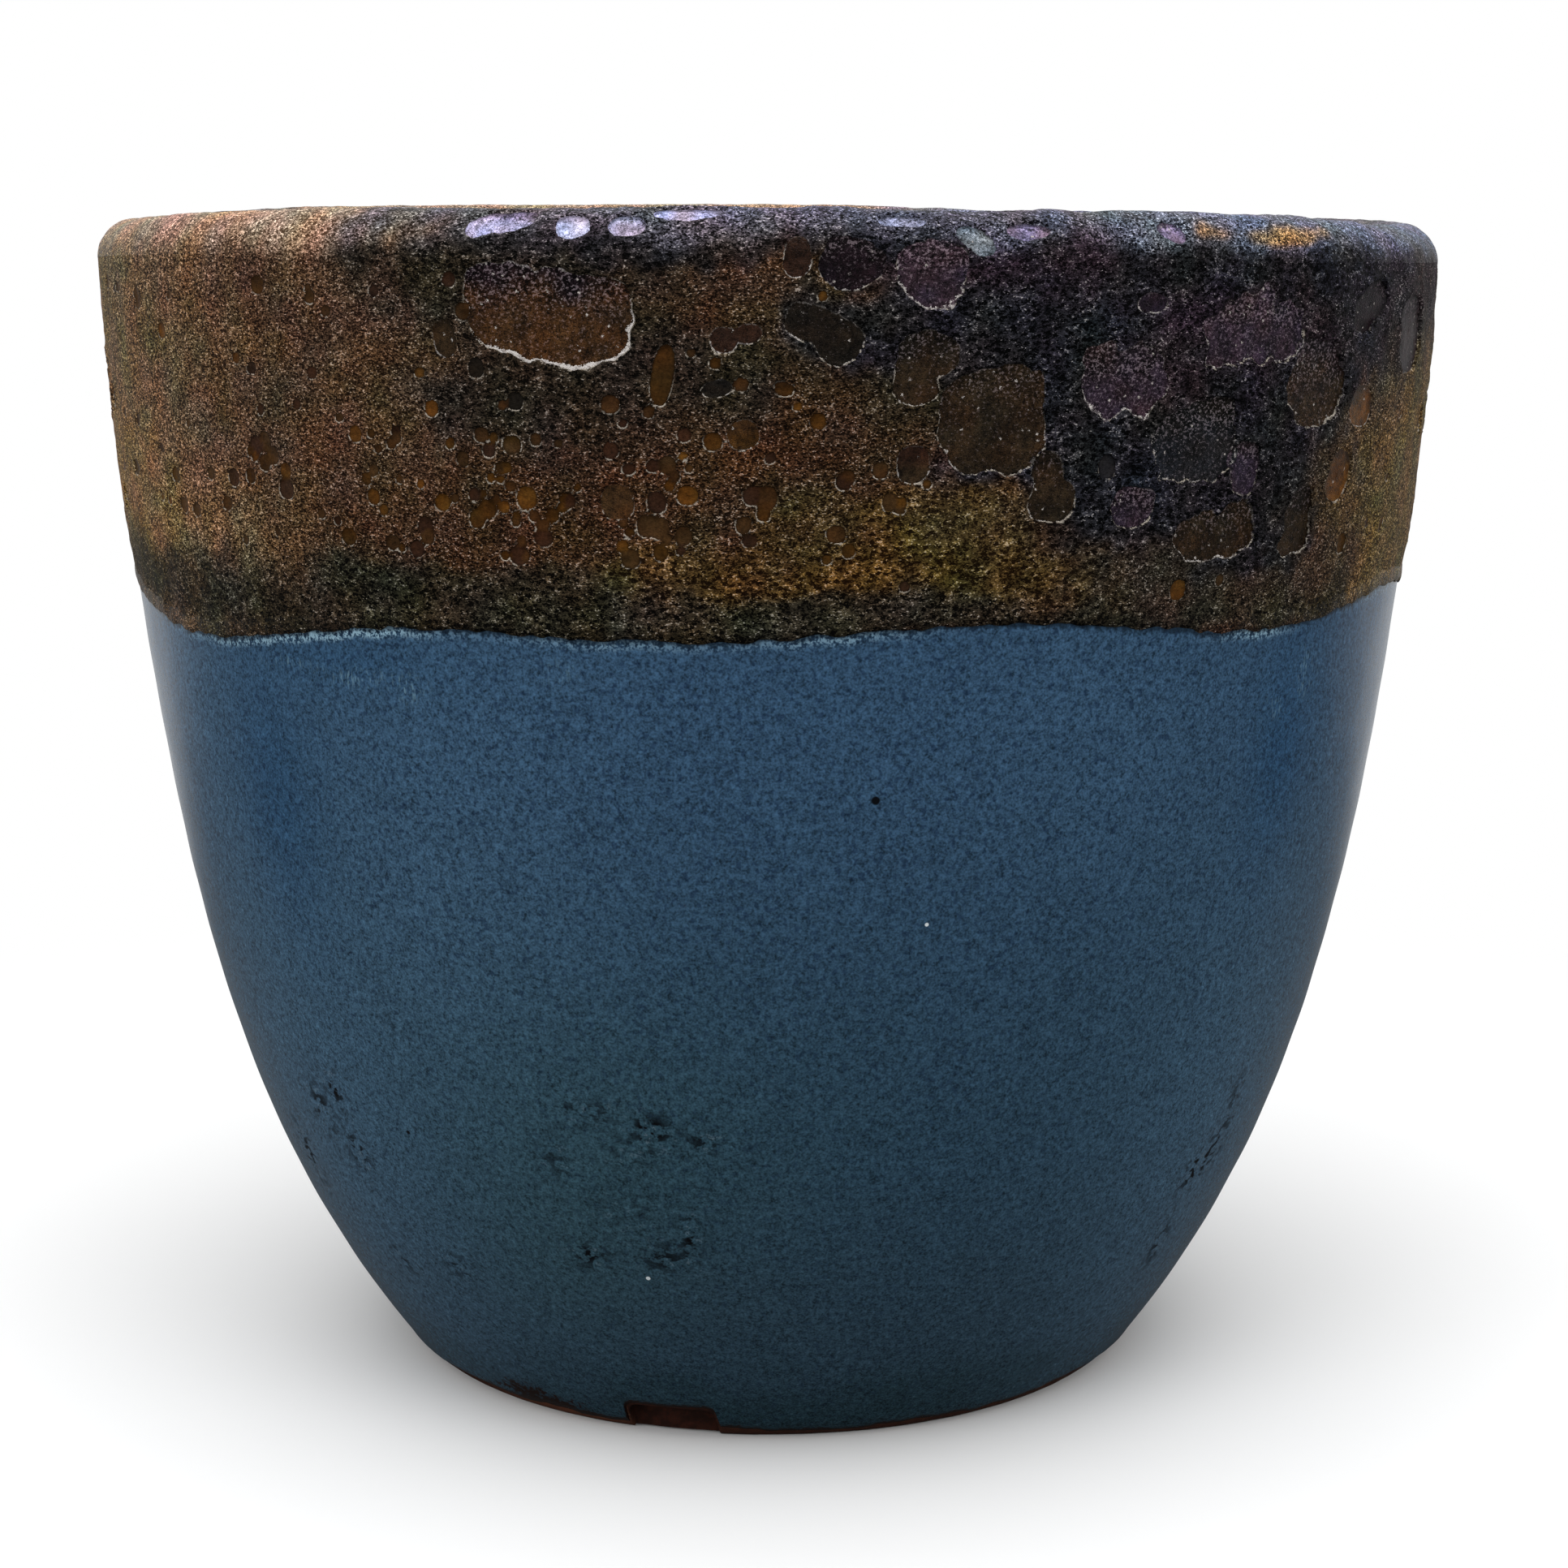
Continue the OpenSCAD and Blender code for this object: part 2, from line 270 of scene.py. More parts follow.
FRONT_CRATERS = (
    Crater(-16, 324, Glaze.AMBER, Glaze.DEEP_PURPLE,
           ((0, 0, 40, 23, 0), (-10, 2, 24, 21, 0), (9, -2, 27, 21, 14)), 2.0, 0.8, 0.3, 34.0),
    Crater(-7.6, 309, Glaze.HONEY, Glaze.HONEY, ((0, 0, 5.6, 15.5, -9),), 1.1),
    Crater(-2.4, 318.5, Glaze.RUSSET, Glaze.RUSSET,
           ((-2.8, -0.6, 6.6, 6.4, 0), (3, 0.9, 7, 4.4, 8)), 1.3),
    Crater(3.8, 319.5, Glaze.UMBER, Glaze.UMBER,
           ((-3.6, 2.6, 12, 9.5, -20), (3.4, -1.6, 12, 11.4, -35)), 1.2, 0.2, 0.16),
    Crater(2, 338.3, Glaze.RUSSET, Glaze.RUSSET, ((0, 0, 6.6, 9.6, 0),), 1.1),
    Crater(5.9, 337, Glaze.DEEP_PURPLE, Glaze.DEEP_PURPLE,
           ((0, 0, 15, 12, 0), (-3, 1, 9, 12, 0)), 0.6, 0.6, 0.24),
    Crater(11.6, 334.5, Glaze.PURPLE, Glaze.PURPLE, ((0, 0, 17, 16, 0),), 1.2, 0.8, 0.26),
    Crater(11.2, 310.5, Glaze.BROWN, Glaze.UMBER,
           ((0.8, 3.6, 16, 10, 0), (-2.6, -2.8, 10.5, 13, 12)), 1.0, 0.5, 0.24),
    Crater(16.4, 298, Glaze.BROWN, Glaze.BROWN,
           ((0, -1, 29, 25, 0), (4, 5, 20, 17, 0), (-6, 3, 13, 15, 0)), 1.1, 0.5, 0.26),
    Crater(21.2, 280, Glaze.BROWN, Glaze.UMBER,
           ((0.4, -3, 13, 11, 0), (-1, 3.6, 8, 11, 8)), 1.2, 0.4, 0.2),
    Crater(10.5, 287, Glaze.BROWN, Glaze.RUSSET, ((0, 0, 7.6, 9, 0),), 1.0),
    Crater(-1.9, 294.5, Glaze.HONEY, Glaze.AMBER, ((0, 0, 7.8, 7.2, 20),), 1.2),
    Crater(1.1, 306, Glaze.HONEY, Glaze.AMBER, ((0, 0, 4.8, 3.6, -10),), 1.2),
    Crater(-3.7, 306, Glaze.UMBER, Glaze.SOOT, ((0, 0, 7, 3.8, 10),), 1.0),
    Crater(-19, 291.5, Glaze.AMBER, Glaze.HONEY, ((0, 0, 5, 4.8, 0),), 2.0),
    Crater(-11.1, 277.5, Glaze.AMBER, Glaze.AMBER, ((0, 0, 8.4, 8.8, 0),), 0.8),
    Crater(-11.5, 290.5, Glaze.RUSSET, Glaze.RUSSET, ((0, 0, 3.8, 4.2, 0),), 0.8),
    Crater(-24.1, 317.5, Glaze.BROWN, Glaze.BROWN, ((0, 0, 6, 9, 14),), 0.5),
    Crater(-21.6, 310.5, Glaze.UMBER, Glaze.SOOT, ((0, 0, 4.2, 5.4, 0),), 0.6),
    Crater(-18.6, 302.5, Glaze.SOOT, Glaze.SOOT, ((0, 0, 4.6, 4.6, 0),), 0.7),
    Crater(27.2, 306.5, Glaze.PURPLE, Glaze.WINE,
           ((0, 0, 24, 18, 0), (-4, 3, 16, 12, 0)), 1.3, 1.0, 0.4),
    Crater(33.9, 290, Glaze.SLATE, Glaze.SOOT,
           ((0, 0, 28, 19, 0), (4, 4, 18, 14, 0)), 1.1, 0.8, 0.36),
    Crater(28.4, 274.5, Glaze.PURPLE, Glaze.PURPLE, ((0, 0, 13.4, 10.4, 0),), 1.1, 1.0, 0.2),
    Crater(36.8, 265.5, Glaze.BROWN, Glaze.BROWN,
           ((-6.4, 0, 16, 13, 0), (7, 1, 14, 14, 0)), 1.3, 0.6, 0.26),
    Crater(46.2, 266.5, Glaze.BROWN, Glaze.UMBER, ((0, 0, 13, 19, -10),), 1.2, 0.5, 0.26),
    Crater(39.4, 319, Glaze.PURPLE, Glaze.PURPLE,
           ((-10, -2, 15, 18, 0), (0, 1, 18, 20, 0), (11, -1, 13, 17, 0)), 1.3, 1.0, 0.4),
    Crater(47.3, 303, Glaze.BROWN, Glaze.WINE,
           ((0, 0, 24, 22, 4), (-3, 4, 16, 16, 0)), 1.0, 0.9, 0.3),
    Crater(54.9, 325, Glaze.DEEP_PURPLE, Glaze.DEEP_PURPLE, ((0, 0, 21, 13, 30),), 0.3, 0.4, 0.18),
    Crater(64.5, 315.5, Glaze.TAUPE, Glaze.TAUPE, ((0, 0, 21, 24, 0),), 0.5, 0.6, 0.14),
    Crater(54.7, 296, Glaze.ORANGE, Glaze.AMBER, ((0, 0, 12, 11, -8),), 0.8),
    Crater(51.9, 278, Glaze.ORANGE, Glaze.AMBER, ((0, 0, 11, 14, -24),), 0.8),
    Crater(29.1, 326.5, Glaze.PURPLE, Glaze.PURPLE, ((0, 0, 8.6, 4.8, 0),), 0.9, 0.3),
    Crater(39.2, 283, Glaze.PURPLE, Glaze.WINE, ((0, 0, 11, 14, 0),), 0.5, 0.8, 0.2),
    Crater(25.8, 285, Glaze.SLATE, Glaze.SLATE, ((0, 0, 4.6, 6, 0),), 0.5, 0.3),
    # pale pools on the lip, coloured with painted reflections of light from above
    Crater(-19.8, 346.7, Glaze.LAVENDER_REFLECTION, Glaze.MAUVE_REFLECTION, ((0, 0, 18, 7.5, 10),), 0.3, 0.9, 0.3),
    Crater(-14.1, 346, Glaze.ICE_REFLECTION, Glaze.LAVENDER_REFLECTION, ((0, 0, 7.7, 6.4, 0),), 0.3, 0.3, 0.2),
    Crater(-10.2, 346, Glaze.LAVENDER_REFLECTION, Glaze.PALE_BLUE_REFLECTION, ((0, 0, 9, 6, 0),), 0.3, 0.6, 0.24),
    Crater(-5.8, 348.9, Glaze.LAVENDER_REFLECTION, Glaze.LAVENDER_REFLECTION, ((0, 0, 19, 5.4, 0),), 0.2, 1.0, 0.34),
    Crater(9.7, 347.6, Glaze.PALE_BLUE_REFLECTION, Glaze.PALE_BLUE_REFLECTION, ((0, 0, 12, 4.2, 0),), 0.2, 0.8, 0.3),
    Crater(14.8, 344, Glaze.SEA_GREY_REFLECTION, Glaze.SEA_GREY_REFLECTION,
           ((0, 0, 9, 5, -24), (2, -2, 5, 5, 0)), 0.2, 0.8, 0.3),
    Crater(19, 345.4, Glaze.MAUVE_REFLECTION, Glaze.MAUVE_REFLECTION, ((0, 0, 13, 5, 0),), 0.2, 1.0, 0.4),
    Crater(31, 345.4, Glaze.MAUVE_REFLECTION, Glaze.MAUVE_REFLECTION, ((0, 0, 8, 5.4, -20),), 0.2, 0.8, 0.3),
)
POOL_PALETTE = (
    (Glaze.AMBER, Glaze.DEEP_PURPLE), (Glaze.BROWN, Glaze.UMBER), (Glaze.PURPLE, Glaze.WINE),
    (Glaze.HONEY, Glaze.BROWN), (Glaze.UMBER, Glaze.SOOT), (Glaze.SLATE, Glaze.SOOT),
)
BUBBLE_PALETTE = (Glaze.RUSSET, Glaze.AMBER, Glaze.HONEY, Glaze.ORANGE, Glaze.AMBER)
# painted reflections of light from above, for the pools on the lip
LIP_REFLECTION_PALETTE = (Glaze.LAVENDER_REFLECTION, Glaze.PALE_BLUE_REFLECTION, Glaze.SEA_GREY_REFLECTION)


class Grit:
    """Smooth noise in space that is the same on every run."""

    table_size = 65536
    primes = (73856093, 19349663, 83492791)

    def __init__(self, seed: int) -> None:
        """Fills the table of random numbers that the noise is read from."""
        self.table = np.random.default_rng(seed).random(self.table_size)

    def __call__(self, points: np.ndarray, cell: float) -> np.ndarray:
        """Noise between -1 and 1.

        Args:
            points: places in millimetres, with x, y, z last.
            cell: the size of its bumps in millimetres.

        Returns:
            One value for each point.
        """
        scaled = points / cell
        whole = np.floor(scaled).astype(np.int64)
        part = scaled - whole
        part = part * part * (3.0 - 2.0 * part)
        total = np.zeros(points.shape[:-1])
        for corner in range(8):
            step = np.array([corner & 1, corner >> 1 & 1, corner >> 2 & 1])
            key = (whole + step) * np.array(self.primes)
            key = (key[..., 0] ^ key[..., 1] ^ key[..., 2]) & (self.table_size - 1)
            weight = np.prod(np.where(step == 1, part, 1.0 - part), axis=-1)
            total += weight * self.table[key]
        return total * 2.0 - 1.0


@dataclass(frozen=True)
class PotOutline:
    """The pot's turned outline and the thickness of its coats."""

    foot_r: float = 112.0
    bends: Row = (178.0, 180.0, 196.0)
    lip_centre_r: float = 188.8
    shoulder: float = 338.8
    clay_lip: float = 9.0
    wall: float = 18.0
    crust: float = 2.2
    blue: float = 1.0
    foot_h: float = 14.0
    floor_t: float = 16.0
    foot_ring: float = 20.0
    hole_r: float = 12.5

    @property
    def coat_lip(self) -> float:
        """Radius of the glazed lip's rounding."""
        return self.clay_lip + self.crust

    @property
    def quarter(self) -> float:
        """Distance over the lip from its crest to where the wall starts."""
        return self.coat_lip * math.pi / 2

    @property
    def floor_top(self) -> float:
        """Height of the floor's upper face."""
        return self.foot_h + self.floor_t

    def clay(self, height: np.ndarray) -> np.ndarray:
        """The clay's outside radius at a height: a Bezier curve with five control radii.

        Args:
            height: one height or many.

        Returns:
            The radius at each.
        """
        share = np.clip(np.asarray(height, float) / self.shoulder, 0.0, 1.0)
        ends = (self.foot_r, *self.bends, self.lip_centre_r + self.clay_lip)
        degree = len(ends) - 1
        return sum(
            math.comb(degree, k) * share**k * (1.0 - share) ** (degree - k) * radius
            for k, radius in enumerate(ends)
        )

    def along(self, height: float) -> float:
        """How far along the outside a height on the glazed surface lies.

        Args:
            height: the height.

        Returns:
            The distance from the lip's crest.
        """
        if height <= self.shoulder:
            return self.quarter + self.shoulder - height
        return self.coat_lip * math.acos(min(1.0, (height - self.shoulder) / self.coat_lip))

    def height(self, along: np.ndarray) -> np.ndarray:
        """The height of the glazed surface.

        Args:
            along: distance over the surface from the lip's crest.

        Returns:
            The height there.
        """
        bend = np.clip(np.abs(along), 0.0, self.quarter)
        drop = np.maximum(np.abs(along) - self.quarter, 0.0)
        return self.shoulder + self.coat_lip * np.cos(bend / self.coat_lip) - drop

    def skin(self, along: np.ndarray, lift: np.ndarray) -> tuple[np.ndarray, np.ndarray]:
        """A place near the glazed surface.

        Args:
            along: distance over the surface from the lip's crest.
            lift: distance out from the surface, along its normal.

        Returns:
            The radius and the height.
        """
        along, lift = np.broadcast_arrays(along, lift)
        bend = np.clip(along, -self.quarter, self.quarter) / self.coat_lip
        reach = self.coat_lip + lift
        lip_r = self.lip_centre_r + reach * np.sin(bend)
        lip_z = self.shoulder + reach * np.cos(bend)
        height = self.height(along)
        slope = (self.clay(height + 1.0) - self.clay(height - 1.0)) / 2.0
        side = np.where(along > 0, 1.0, -1.0)
        size = np.hypot(1.0, slope)
        out = np.where(along > 0, self.crust, -self.wall - self.crust)
        wall_r = self.clay(height) + out + side * lift / size
        wall_z = height - side * lift * slope / size
        on_wall = np.abs(along) > self.quarter
        return np.where(on_wall, wall_r, lip_r), np.where(on_wall, wall_z, lip_z)


POT = PotOutline()
LIP_SAG = (
    (-180, 1.2), (-150, 1.3), (-124, 1.8), (-105, 3.4), (-90, 4.6), (-75, 4.2), (-61, 2.6),
    (-49, 1.3), (-37, 0.3), (-20, 0.0), (4, 0.0), (15, 1.2), (22, 0.8), (30, 1.2), (40, 2.2),
    (50, 3.6), (60, 5.0), (70, 5.8), (90, 5.8), (110, 5.0), (130, 4.0), (144, 3.4),
    (157, 3.4), (168, 1.6), (180, 1.2),
)
SAG_LOW, SAG_HIGH = 312.0, 346.0
LIP_TOP = node_mm("lip_glaze")[1][2]
ROLL_LOW, ROLL_HIGH = node_mm("glaze_roll")[0][2], node_mm("glaze_roll")[1][2]
BLUE_LOW = node_mm("blue_glaze")[0][2]
COLLAR_LOW = node_mm("inner_glaze")[0][2]
NOTCH_AZIMUTHS = (-14.0, 106.0, 226.0)
NOTCH_W = 26.0
NOTCH_H = 10.0
COLLAR_R = 178.0
LINE_R = 191.0
FOOT_COAT_R = 115.0
LINE_DROP = 1.6
LINE_WAVES = ((4.0, 2, -0.38), (1.6, 5, 0.58), (2.9, 7, -2.46))
SMOOTH_ANGLE = 50.0


def sagged(azimuth: np.ndarray, height: np.ndarray) -> np.ndarray:
    """Heights near the lip, let down by the sag that the rim took in the kiln.

    Args:
        azimuth: the points' azimuths.
        height: their heights before it.

    Returns:
        Their heights after it.
    """
    turns, drops = np.array(LIP_SAG).T
    drop = np.interp(turn_between(azimuth, 0.0), turns, drops)
    return height - drop * soft_step(SAG_LOW, SAG_HIGH, height)


def glaze_line(azimuth: np.ndarray) -> np.ndarray:
    """Height of the wavy line where the lava glaze ends over the blue.

    Args:
        azimuth: degrees.

    Returns:
        The height at each azimuth.
    """
    turn = np.radians(azimuth)
    waves = sum(size * np.cos(count * turn + lag) for size, count, lag in LINE_WAVES)
    return ROLL_LOW - LINE_DROP + waves


def places(azimuth: np.ndarray, radius: Any, height: Any) -> np.ndarray:
    """Places in space.

    Args:
        azimuth: degrees.
        radius: one radius or one for each azimuth.
        height: one height or one for each azimuth.

    Returns:
        The places, with x, y, z last.
    """
    turn = np.radians(azimuth)
    parts = np.broadcast_arrays(radius * np.sin(turn), -radius * np.cos(turn), height)
    return np.stack(parts, axis=-1)


@dataclass
class Skin:
    """What the lava glaze is like at each point of a piece."""

    lift: np.ndarray
    pit: np.ndarray
    web: np.ndarray
    pool: np.ndarray
    glint: np.ndarray
    coarse: np.ndarray
    bubble: np.ndarray
    rim: np.ndarray


@dataclass(frozen=True)
class BackRule:
    """How the craters of the sides and back are laid out: the large ones as the CAD's."""

    large: int = 14
    first: float = 80.0
    span: float = 202.0
    drop: float = 57.6
    drop_vary: float = 23.2
    drop_turn: float = 137.0
    width: float = 17.0
    width_vary: float = 6.0
    width_turn: float = 97.0
    total: int = 64
    azimuths: tuple[float, float] = (72.0, 288.0)
    heights: tuple[float, float] = (254.0, 344.0)
    widths: tuple[float, float] = (4.5, 12.0)
    lip_from: float = 341.0


@dataclass(frozen=True)
class BubbleRule:
    """How the small bubbles are scattered: thickest low down, to the left of the front."""

    total: int = 460
    heights: tuple[float, float] = (250.0, 334.0)
    thickest: tuple[float, float] = (-18.0, 276.0)
    spread: tuple[float, float] = (34.0, 40.0)
    few: float = 0.10
    back_from: float = 100.0
    back: float = 0.35
    right: tuple[float, float] = (14.0, 80.0)
    bare_right: tuple[float, float] = (4.0, 62.0)
    bare_above: float = 288.0
    bare_left: tuple[float, float] = (-34.0, 44.0)
    bare_below: float = 262.0
    least_width: float = 2.3
    width_vary: float = 3.2
    width_power: float = 1.8


@dataclass
class LavaField:
    """The craters, bubbles and grounds of the lava glaze, all round the pot."""

    seed: int = 11
    crater_depth: float = 1.5
    bubble_depth: float = 0.09
    small_width: float = 6.0
    mean_r: float = 197.0
    no_bubble: float = 4.0
    ground_spread: float = 3.0
    ground_rest: float = 0.12
    lip_wander: float = 0.25
    craters: list[Crater] = field(default_factory=list)
    bubbles: list[Crater] = field(default_factory=list)

    def __post_init__(self) -> None:
        """Sets out every crater and bubble."""
        self.grit = Grit(self.seed)
        self.rng = np.random.default_rng(self.seed)
        self.craters = list(FRONT_CRATERS) + self.back_craters(BackRule())
        self.bubbles = self.scattered_bubbles(BubbleRule())

    def back_craters(self, rule: BackRule) -> list[Crater]:
        """The large craters round the sides and back, and smaller ones between them.

        Args:
            rule: their layout.

        Returns:
            The craters.
        """
        made = []
        for i in range(rule.large):
            azimuth = rule.first + rule.span * i / (rule.large - 1)
            drop = rule.drop + rule.drop_vary * math.sin(math.radians(i * rule.drop_turn))
            width = rule.width + rule.width_vary * math.sin(math.radians(i * rule.width_turn))
            pool, upper = POOL_PALETTE[i % len(POOL_PALETTE)]
            shift = self.rng.uniform(-0.2, 0.2, 2) * width
            lobes = (
                (0, 0, width, width * 0.85, self.rng.uniform(-30, 30)),
                (shift[0], shift[1], width * 0.8, width * 0.75, 0),
            )
            rough = float(self.rng.choice([0.2, 0.5, 0.9]))
            made.append(Crater(azimuth, LIP_TOP - drop, pool, upper, lobes, 1.0, rough, 0.18))
        while len(made) < rule.total:
            azimuth, height = self.rng.uniform(*rule.azimuths), self.rng.uniform(*rule.heights)
            width = self.rng.uniform(*rule.widths)
            if any(self.near(c, azimuth, height, width) for c in made):
                continue
            pool, upper = POOL_PALETTE[self.rng.integers(len(POOL_PALETTE))]
            # pools on the lip take the painted reflection colours
            if height > rule.lip_from:
                pool = upper = LIP_REFLECTION_PALETTE[len(made) % len(LIP_REFLECTION_PALETTE)]
            tall = width * self.rng.uniform(0.7, 1.5)
            lobes = ((0, 0, width, tall, self.rng.uniform(-20, 20)),)
            made.append(Crater(azimuth, height, pool, upper, lobes, 1.0, 0.3, 0.14))
        return made

    def near(self, crater: Crater, azimuth: float, height: float, width: float) -> bool:
        """Whether a new round crater would run into one that is there already.

        Args:
            crater: the one that is there.
            azimuth: where the new one would be.
            height: how high it would be.
            width: how far it keeps from the other's lobes.

        Returns:
            True if they would touch.
        """
        across = math.radians(float(turn_between(azimuth, crater.azimuth))) * self.mean_r
        up = height - crater.height
        reach = max(max(lobe[2], lobe[3]) for lobe in crater.lobes) / 2 + width
        return math.hypot(across, up) < reach

    def bubble_chance(self, rule: BubbleRule, azimuth: float, height: float) -> float:
        """How likely a small bubble is at a place.

        Args:
            rule: how they are scattered.
            azimuth: the place's azimuth.
            height: its height.

        Returns:
            The chance, up to 1.
        """
        turn = abs(float(turn_between(azimuth, rule.thickest[0])))
        low = 1.0 - abs(height - rule.thickest[1]) / rule.spread[1]
        chance = rule.few + 0.9 * max(0.0, 1 - turn / rule.spread[0]) * max(0.0, low)
        if turn > rule.back_from:
            chance = rule.back * max(0.1, low)
        if rule.right[0] < azimuth < rule.right[1]:
            chance *= 0.35
        return chance

    def scattered_bubbles(self, rule: BubbleRule) -> list[Crater]:
        """Small round bubbles, thickest on the rusty ground low down at the front.

        Args:
            rule: how they are scattered.

        Returns:
            The bubbles, without those that fall on the dark band at the lower left.
        """
        made = []
        while len(made) < rule.total:
            azimuth, height = self.rng.uniform(-180, 180), self.rng.uniform(*rule.heights)
            first, last = rule.bare_right
            if first < azimuth < last and height > rule.bare_above:
                continue
            if self.rng.random() > self.bubble_chance(rule, azimuth, height):
                continue
            width = rule.least_width + rule.width_vary * self.rng.random() ** rule.width_power
            glaze = BUBBLE_PALETTE[self.rng.integers(len(BUBBLE_PALETTE))]
            lobes = ((0, 0, width, width * self.rng.uniform(0.85, 1.15), 0),)
            if any(self.near(c, azimuth, height, 0.4 * width) for c in self.craters):
                continue
            # how strong this bubble's painted rim highlight is
            rim = self.rng.uniform(0.4, 1.1)
            made.append(Crater(azimuth, height, glaze, glaze, lobes, rim, 0.0, 0.06))
        middle, half = rule.bare_left
        return [
            bubble for bubble in made if bubble.height > rule.bare_below
            or abs(float(turn_between(bubble.azimuth, middle))) > half
        ]

    def distance(
        self, crater: Crater, azimuth: np.ndarray, along: np.ndarray, points: np.ndarray
    ) -> tuple[np.ndarray, np.ndarray, np.ndarray]:
        """How far points lie outside a crater's outline.

        Args:
            crater: the crater.
            azimuth: the points' azimuths.
            along: their distances along the surface.
            points: their places in space.

        Returns:
            The distance, negative inside, and the offsets right and up from its middle.
        """
        across = np.radians(turn_between(azimuth, crater.azimuth)) * self.mean_r
        up = POT.along(crater.height) - along
        across, up = np.broadcast_arrays(across, up)
        nearest = np.full(across.shape, 1e3)
        power, merge = 2.4, 3.0
        for right, above, width, tall, tilt in crater.lobes:
            lean = math.radians(tilt)
            dx, dy = across - right, up - above
            u = dx * math.cos(lean) + dy * math.sin(lean)
            v = -dx * math.sin(lean) + dy * math.cos(lean)
            ratio = (np.abs(2 * u / width) ** power + np.abs(2 * v / tall) ** power) ** (1 / power)
            gap = np.minimum(np.hypot(u, v), min(width, tall) * 0.7 * np.maximum(ratio, 0.3))
            gap = gap * (1.0 - 1.0 / np.maximum(ratio, 1e-3))
            gap = np.maximum(gap, -min(width, tall) / 2)
            blend = np.clip(0.5 + (nearest - gap) / merge, 0.0, 1.0)
            nearest = nearest * (1 - blend) + gap * blend - merge / 4 * blend * (1 - blend)
        size = min(min(lobe[2], lobe[3]) for lobe in crater.lobes)
        wander = self.grit(points, 5.0) + 0.5 * self.grit(points + 40, 2.2)
        if crater.ragged > 0.08:
            nearest = nearest + wander * crater.ragged * min(size, 12.0) * 0.5
        return nearest, across, up

    def pool_colour(self, crater: Crater, up: np.ndarray, points: np.ndarray) -> np.ndarray:
        """The pool's colour: its own tint below, running into the upper tint.

        Args:
            crater: the crater.
            up: how far each point lies above its middle.
            points: their places in space.

        Returns:
            A linear colour for each point.
        """
        rise = up / crater.half_height + 0.5 * self.grit(points, 7.0)
        share = soft_step(-0.2, 0.9, rise)[..., None]
        colour = linear(crater.pool.value) * (1 - share) + linear(crater.upper.value) * share
        blotch = 1.0 + 0.45 * self.grit(points + 9, 4.0) + 0.3 * self.grit(points + 5, 1.8)
        warm = 0.2 * self.grit(points + 66, 5.0)
        tint = np.stack([1.0 + warm, np.ones(warm.shape), 1.0 - warm], axis=-1)
        return colour * tint * np.maximum(blotch, 0.2)[..., None]

    def rim_light(self, crater: Crater, across: np.ndarray, up: np.ndarray) -> np.ndarray:
        """How strongly the rim shows its painted highlight, most towards the crater's rim_turn.

        Args:
            crater: the crater.
            across: how far each point lies to the right of its middle.
            up: how far it lies above it.

        Returns:
            The strength at each point.
        """
        right, above = across / crater.half_width**2, up / crater.half_height**2
        turn = math.radians(crater.rim_turn)
        facing = right * math.sin(turn) - above * math.cos(turn)
        facing = facing / np.maximum(np.hypot(right, above), 1e-6)
        return crater.rim * np.clip(0.5 + facing, 0.25, 1.2)

    def ground_at(
        self, azimuth: np.ndarray, height: np.ndarray, points: np.ndarray
    ) -> dict[str, np.ndarray]:
        """The blend of grounds at each point.

        Args:
            azimuth: the points' azimuths.
            height: their heights.
            points: their places in space.

        Returns:
            The arrays pit, web, glint, coarse and relief.
        """
        grit = self.grit
        wander_x = 5.0 * grit(points + 70, 16.0) + 2.5 * grit(points + 30, 5.0)
        wander_z = 6.0 * grit(points + 90, 16.0) + 3.0 * grit(points + 50, 5.0)
        shape = points.shape[:-1]
        looks = {"pit": np.zeros(shape + (3,)), "web": np.zeros(shape + (3,))}
        looks.update({key: np.zeros(shape) for key in ("glint", "coarse", "relief")})
        total = np.full(shape, self.ground_rest)
        self.add_ground(looks, Ground.COCOA.value, total)
        for group, loose in ((LIP_PATCHES, self.lip_wander), (FRONT_PATCHES + BACK_PATCHES, 1.0)):
            for patch in group:
                across = (turn_between(azimuth, patch.azimuth) + wander_x) / patch.half_width
                up = (height + loose * wander_z - patch.height) / patch.half_height
                fall = np.exp(-((across**2 + up**2) ** 1.5) * 0.9)
                weight = self.ground_spread * patch.strength * fall
                total = total + weight
                self.add_ground(looks, patch.ground.value, weight)
        for key, value in looks.items():
            looks[key] = value / (total[..., None] if value.ndim > total.ndim else total)
        warm = 1.0 + 0.22 * grit(points + 17, 11.0) + 0.12 * grit(points + 27, 4.0)
        cool = 1.0 + 0.25 * grit(points + 37, 9.0)
        tint = np.stack([warm, np.ones(shape), cool], axis=-1)
        looks["pit"] *= tint
        looks["web"] *= tint
        return looks

    @staticmethod
    def add_ground(looks: dict[str, np.ndarray], crust: Crust, weight: np.ndarray) -> None:
        """Adds one look to the running sums.

        Args:
            looks: the sums.
            crust: the look.
            weight: how much of it there is at each point.
        """
        for key, total in looks.items():
            value = getattr(crust, key)
            if isinstance(value, tuple):
                total += linear(value) * weight[..., None]
            else:
                total += value * weight

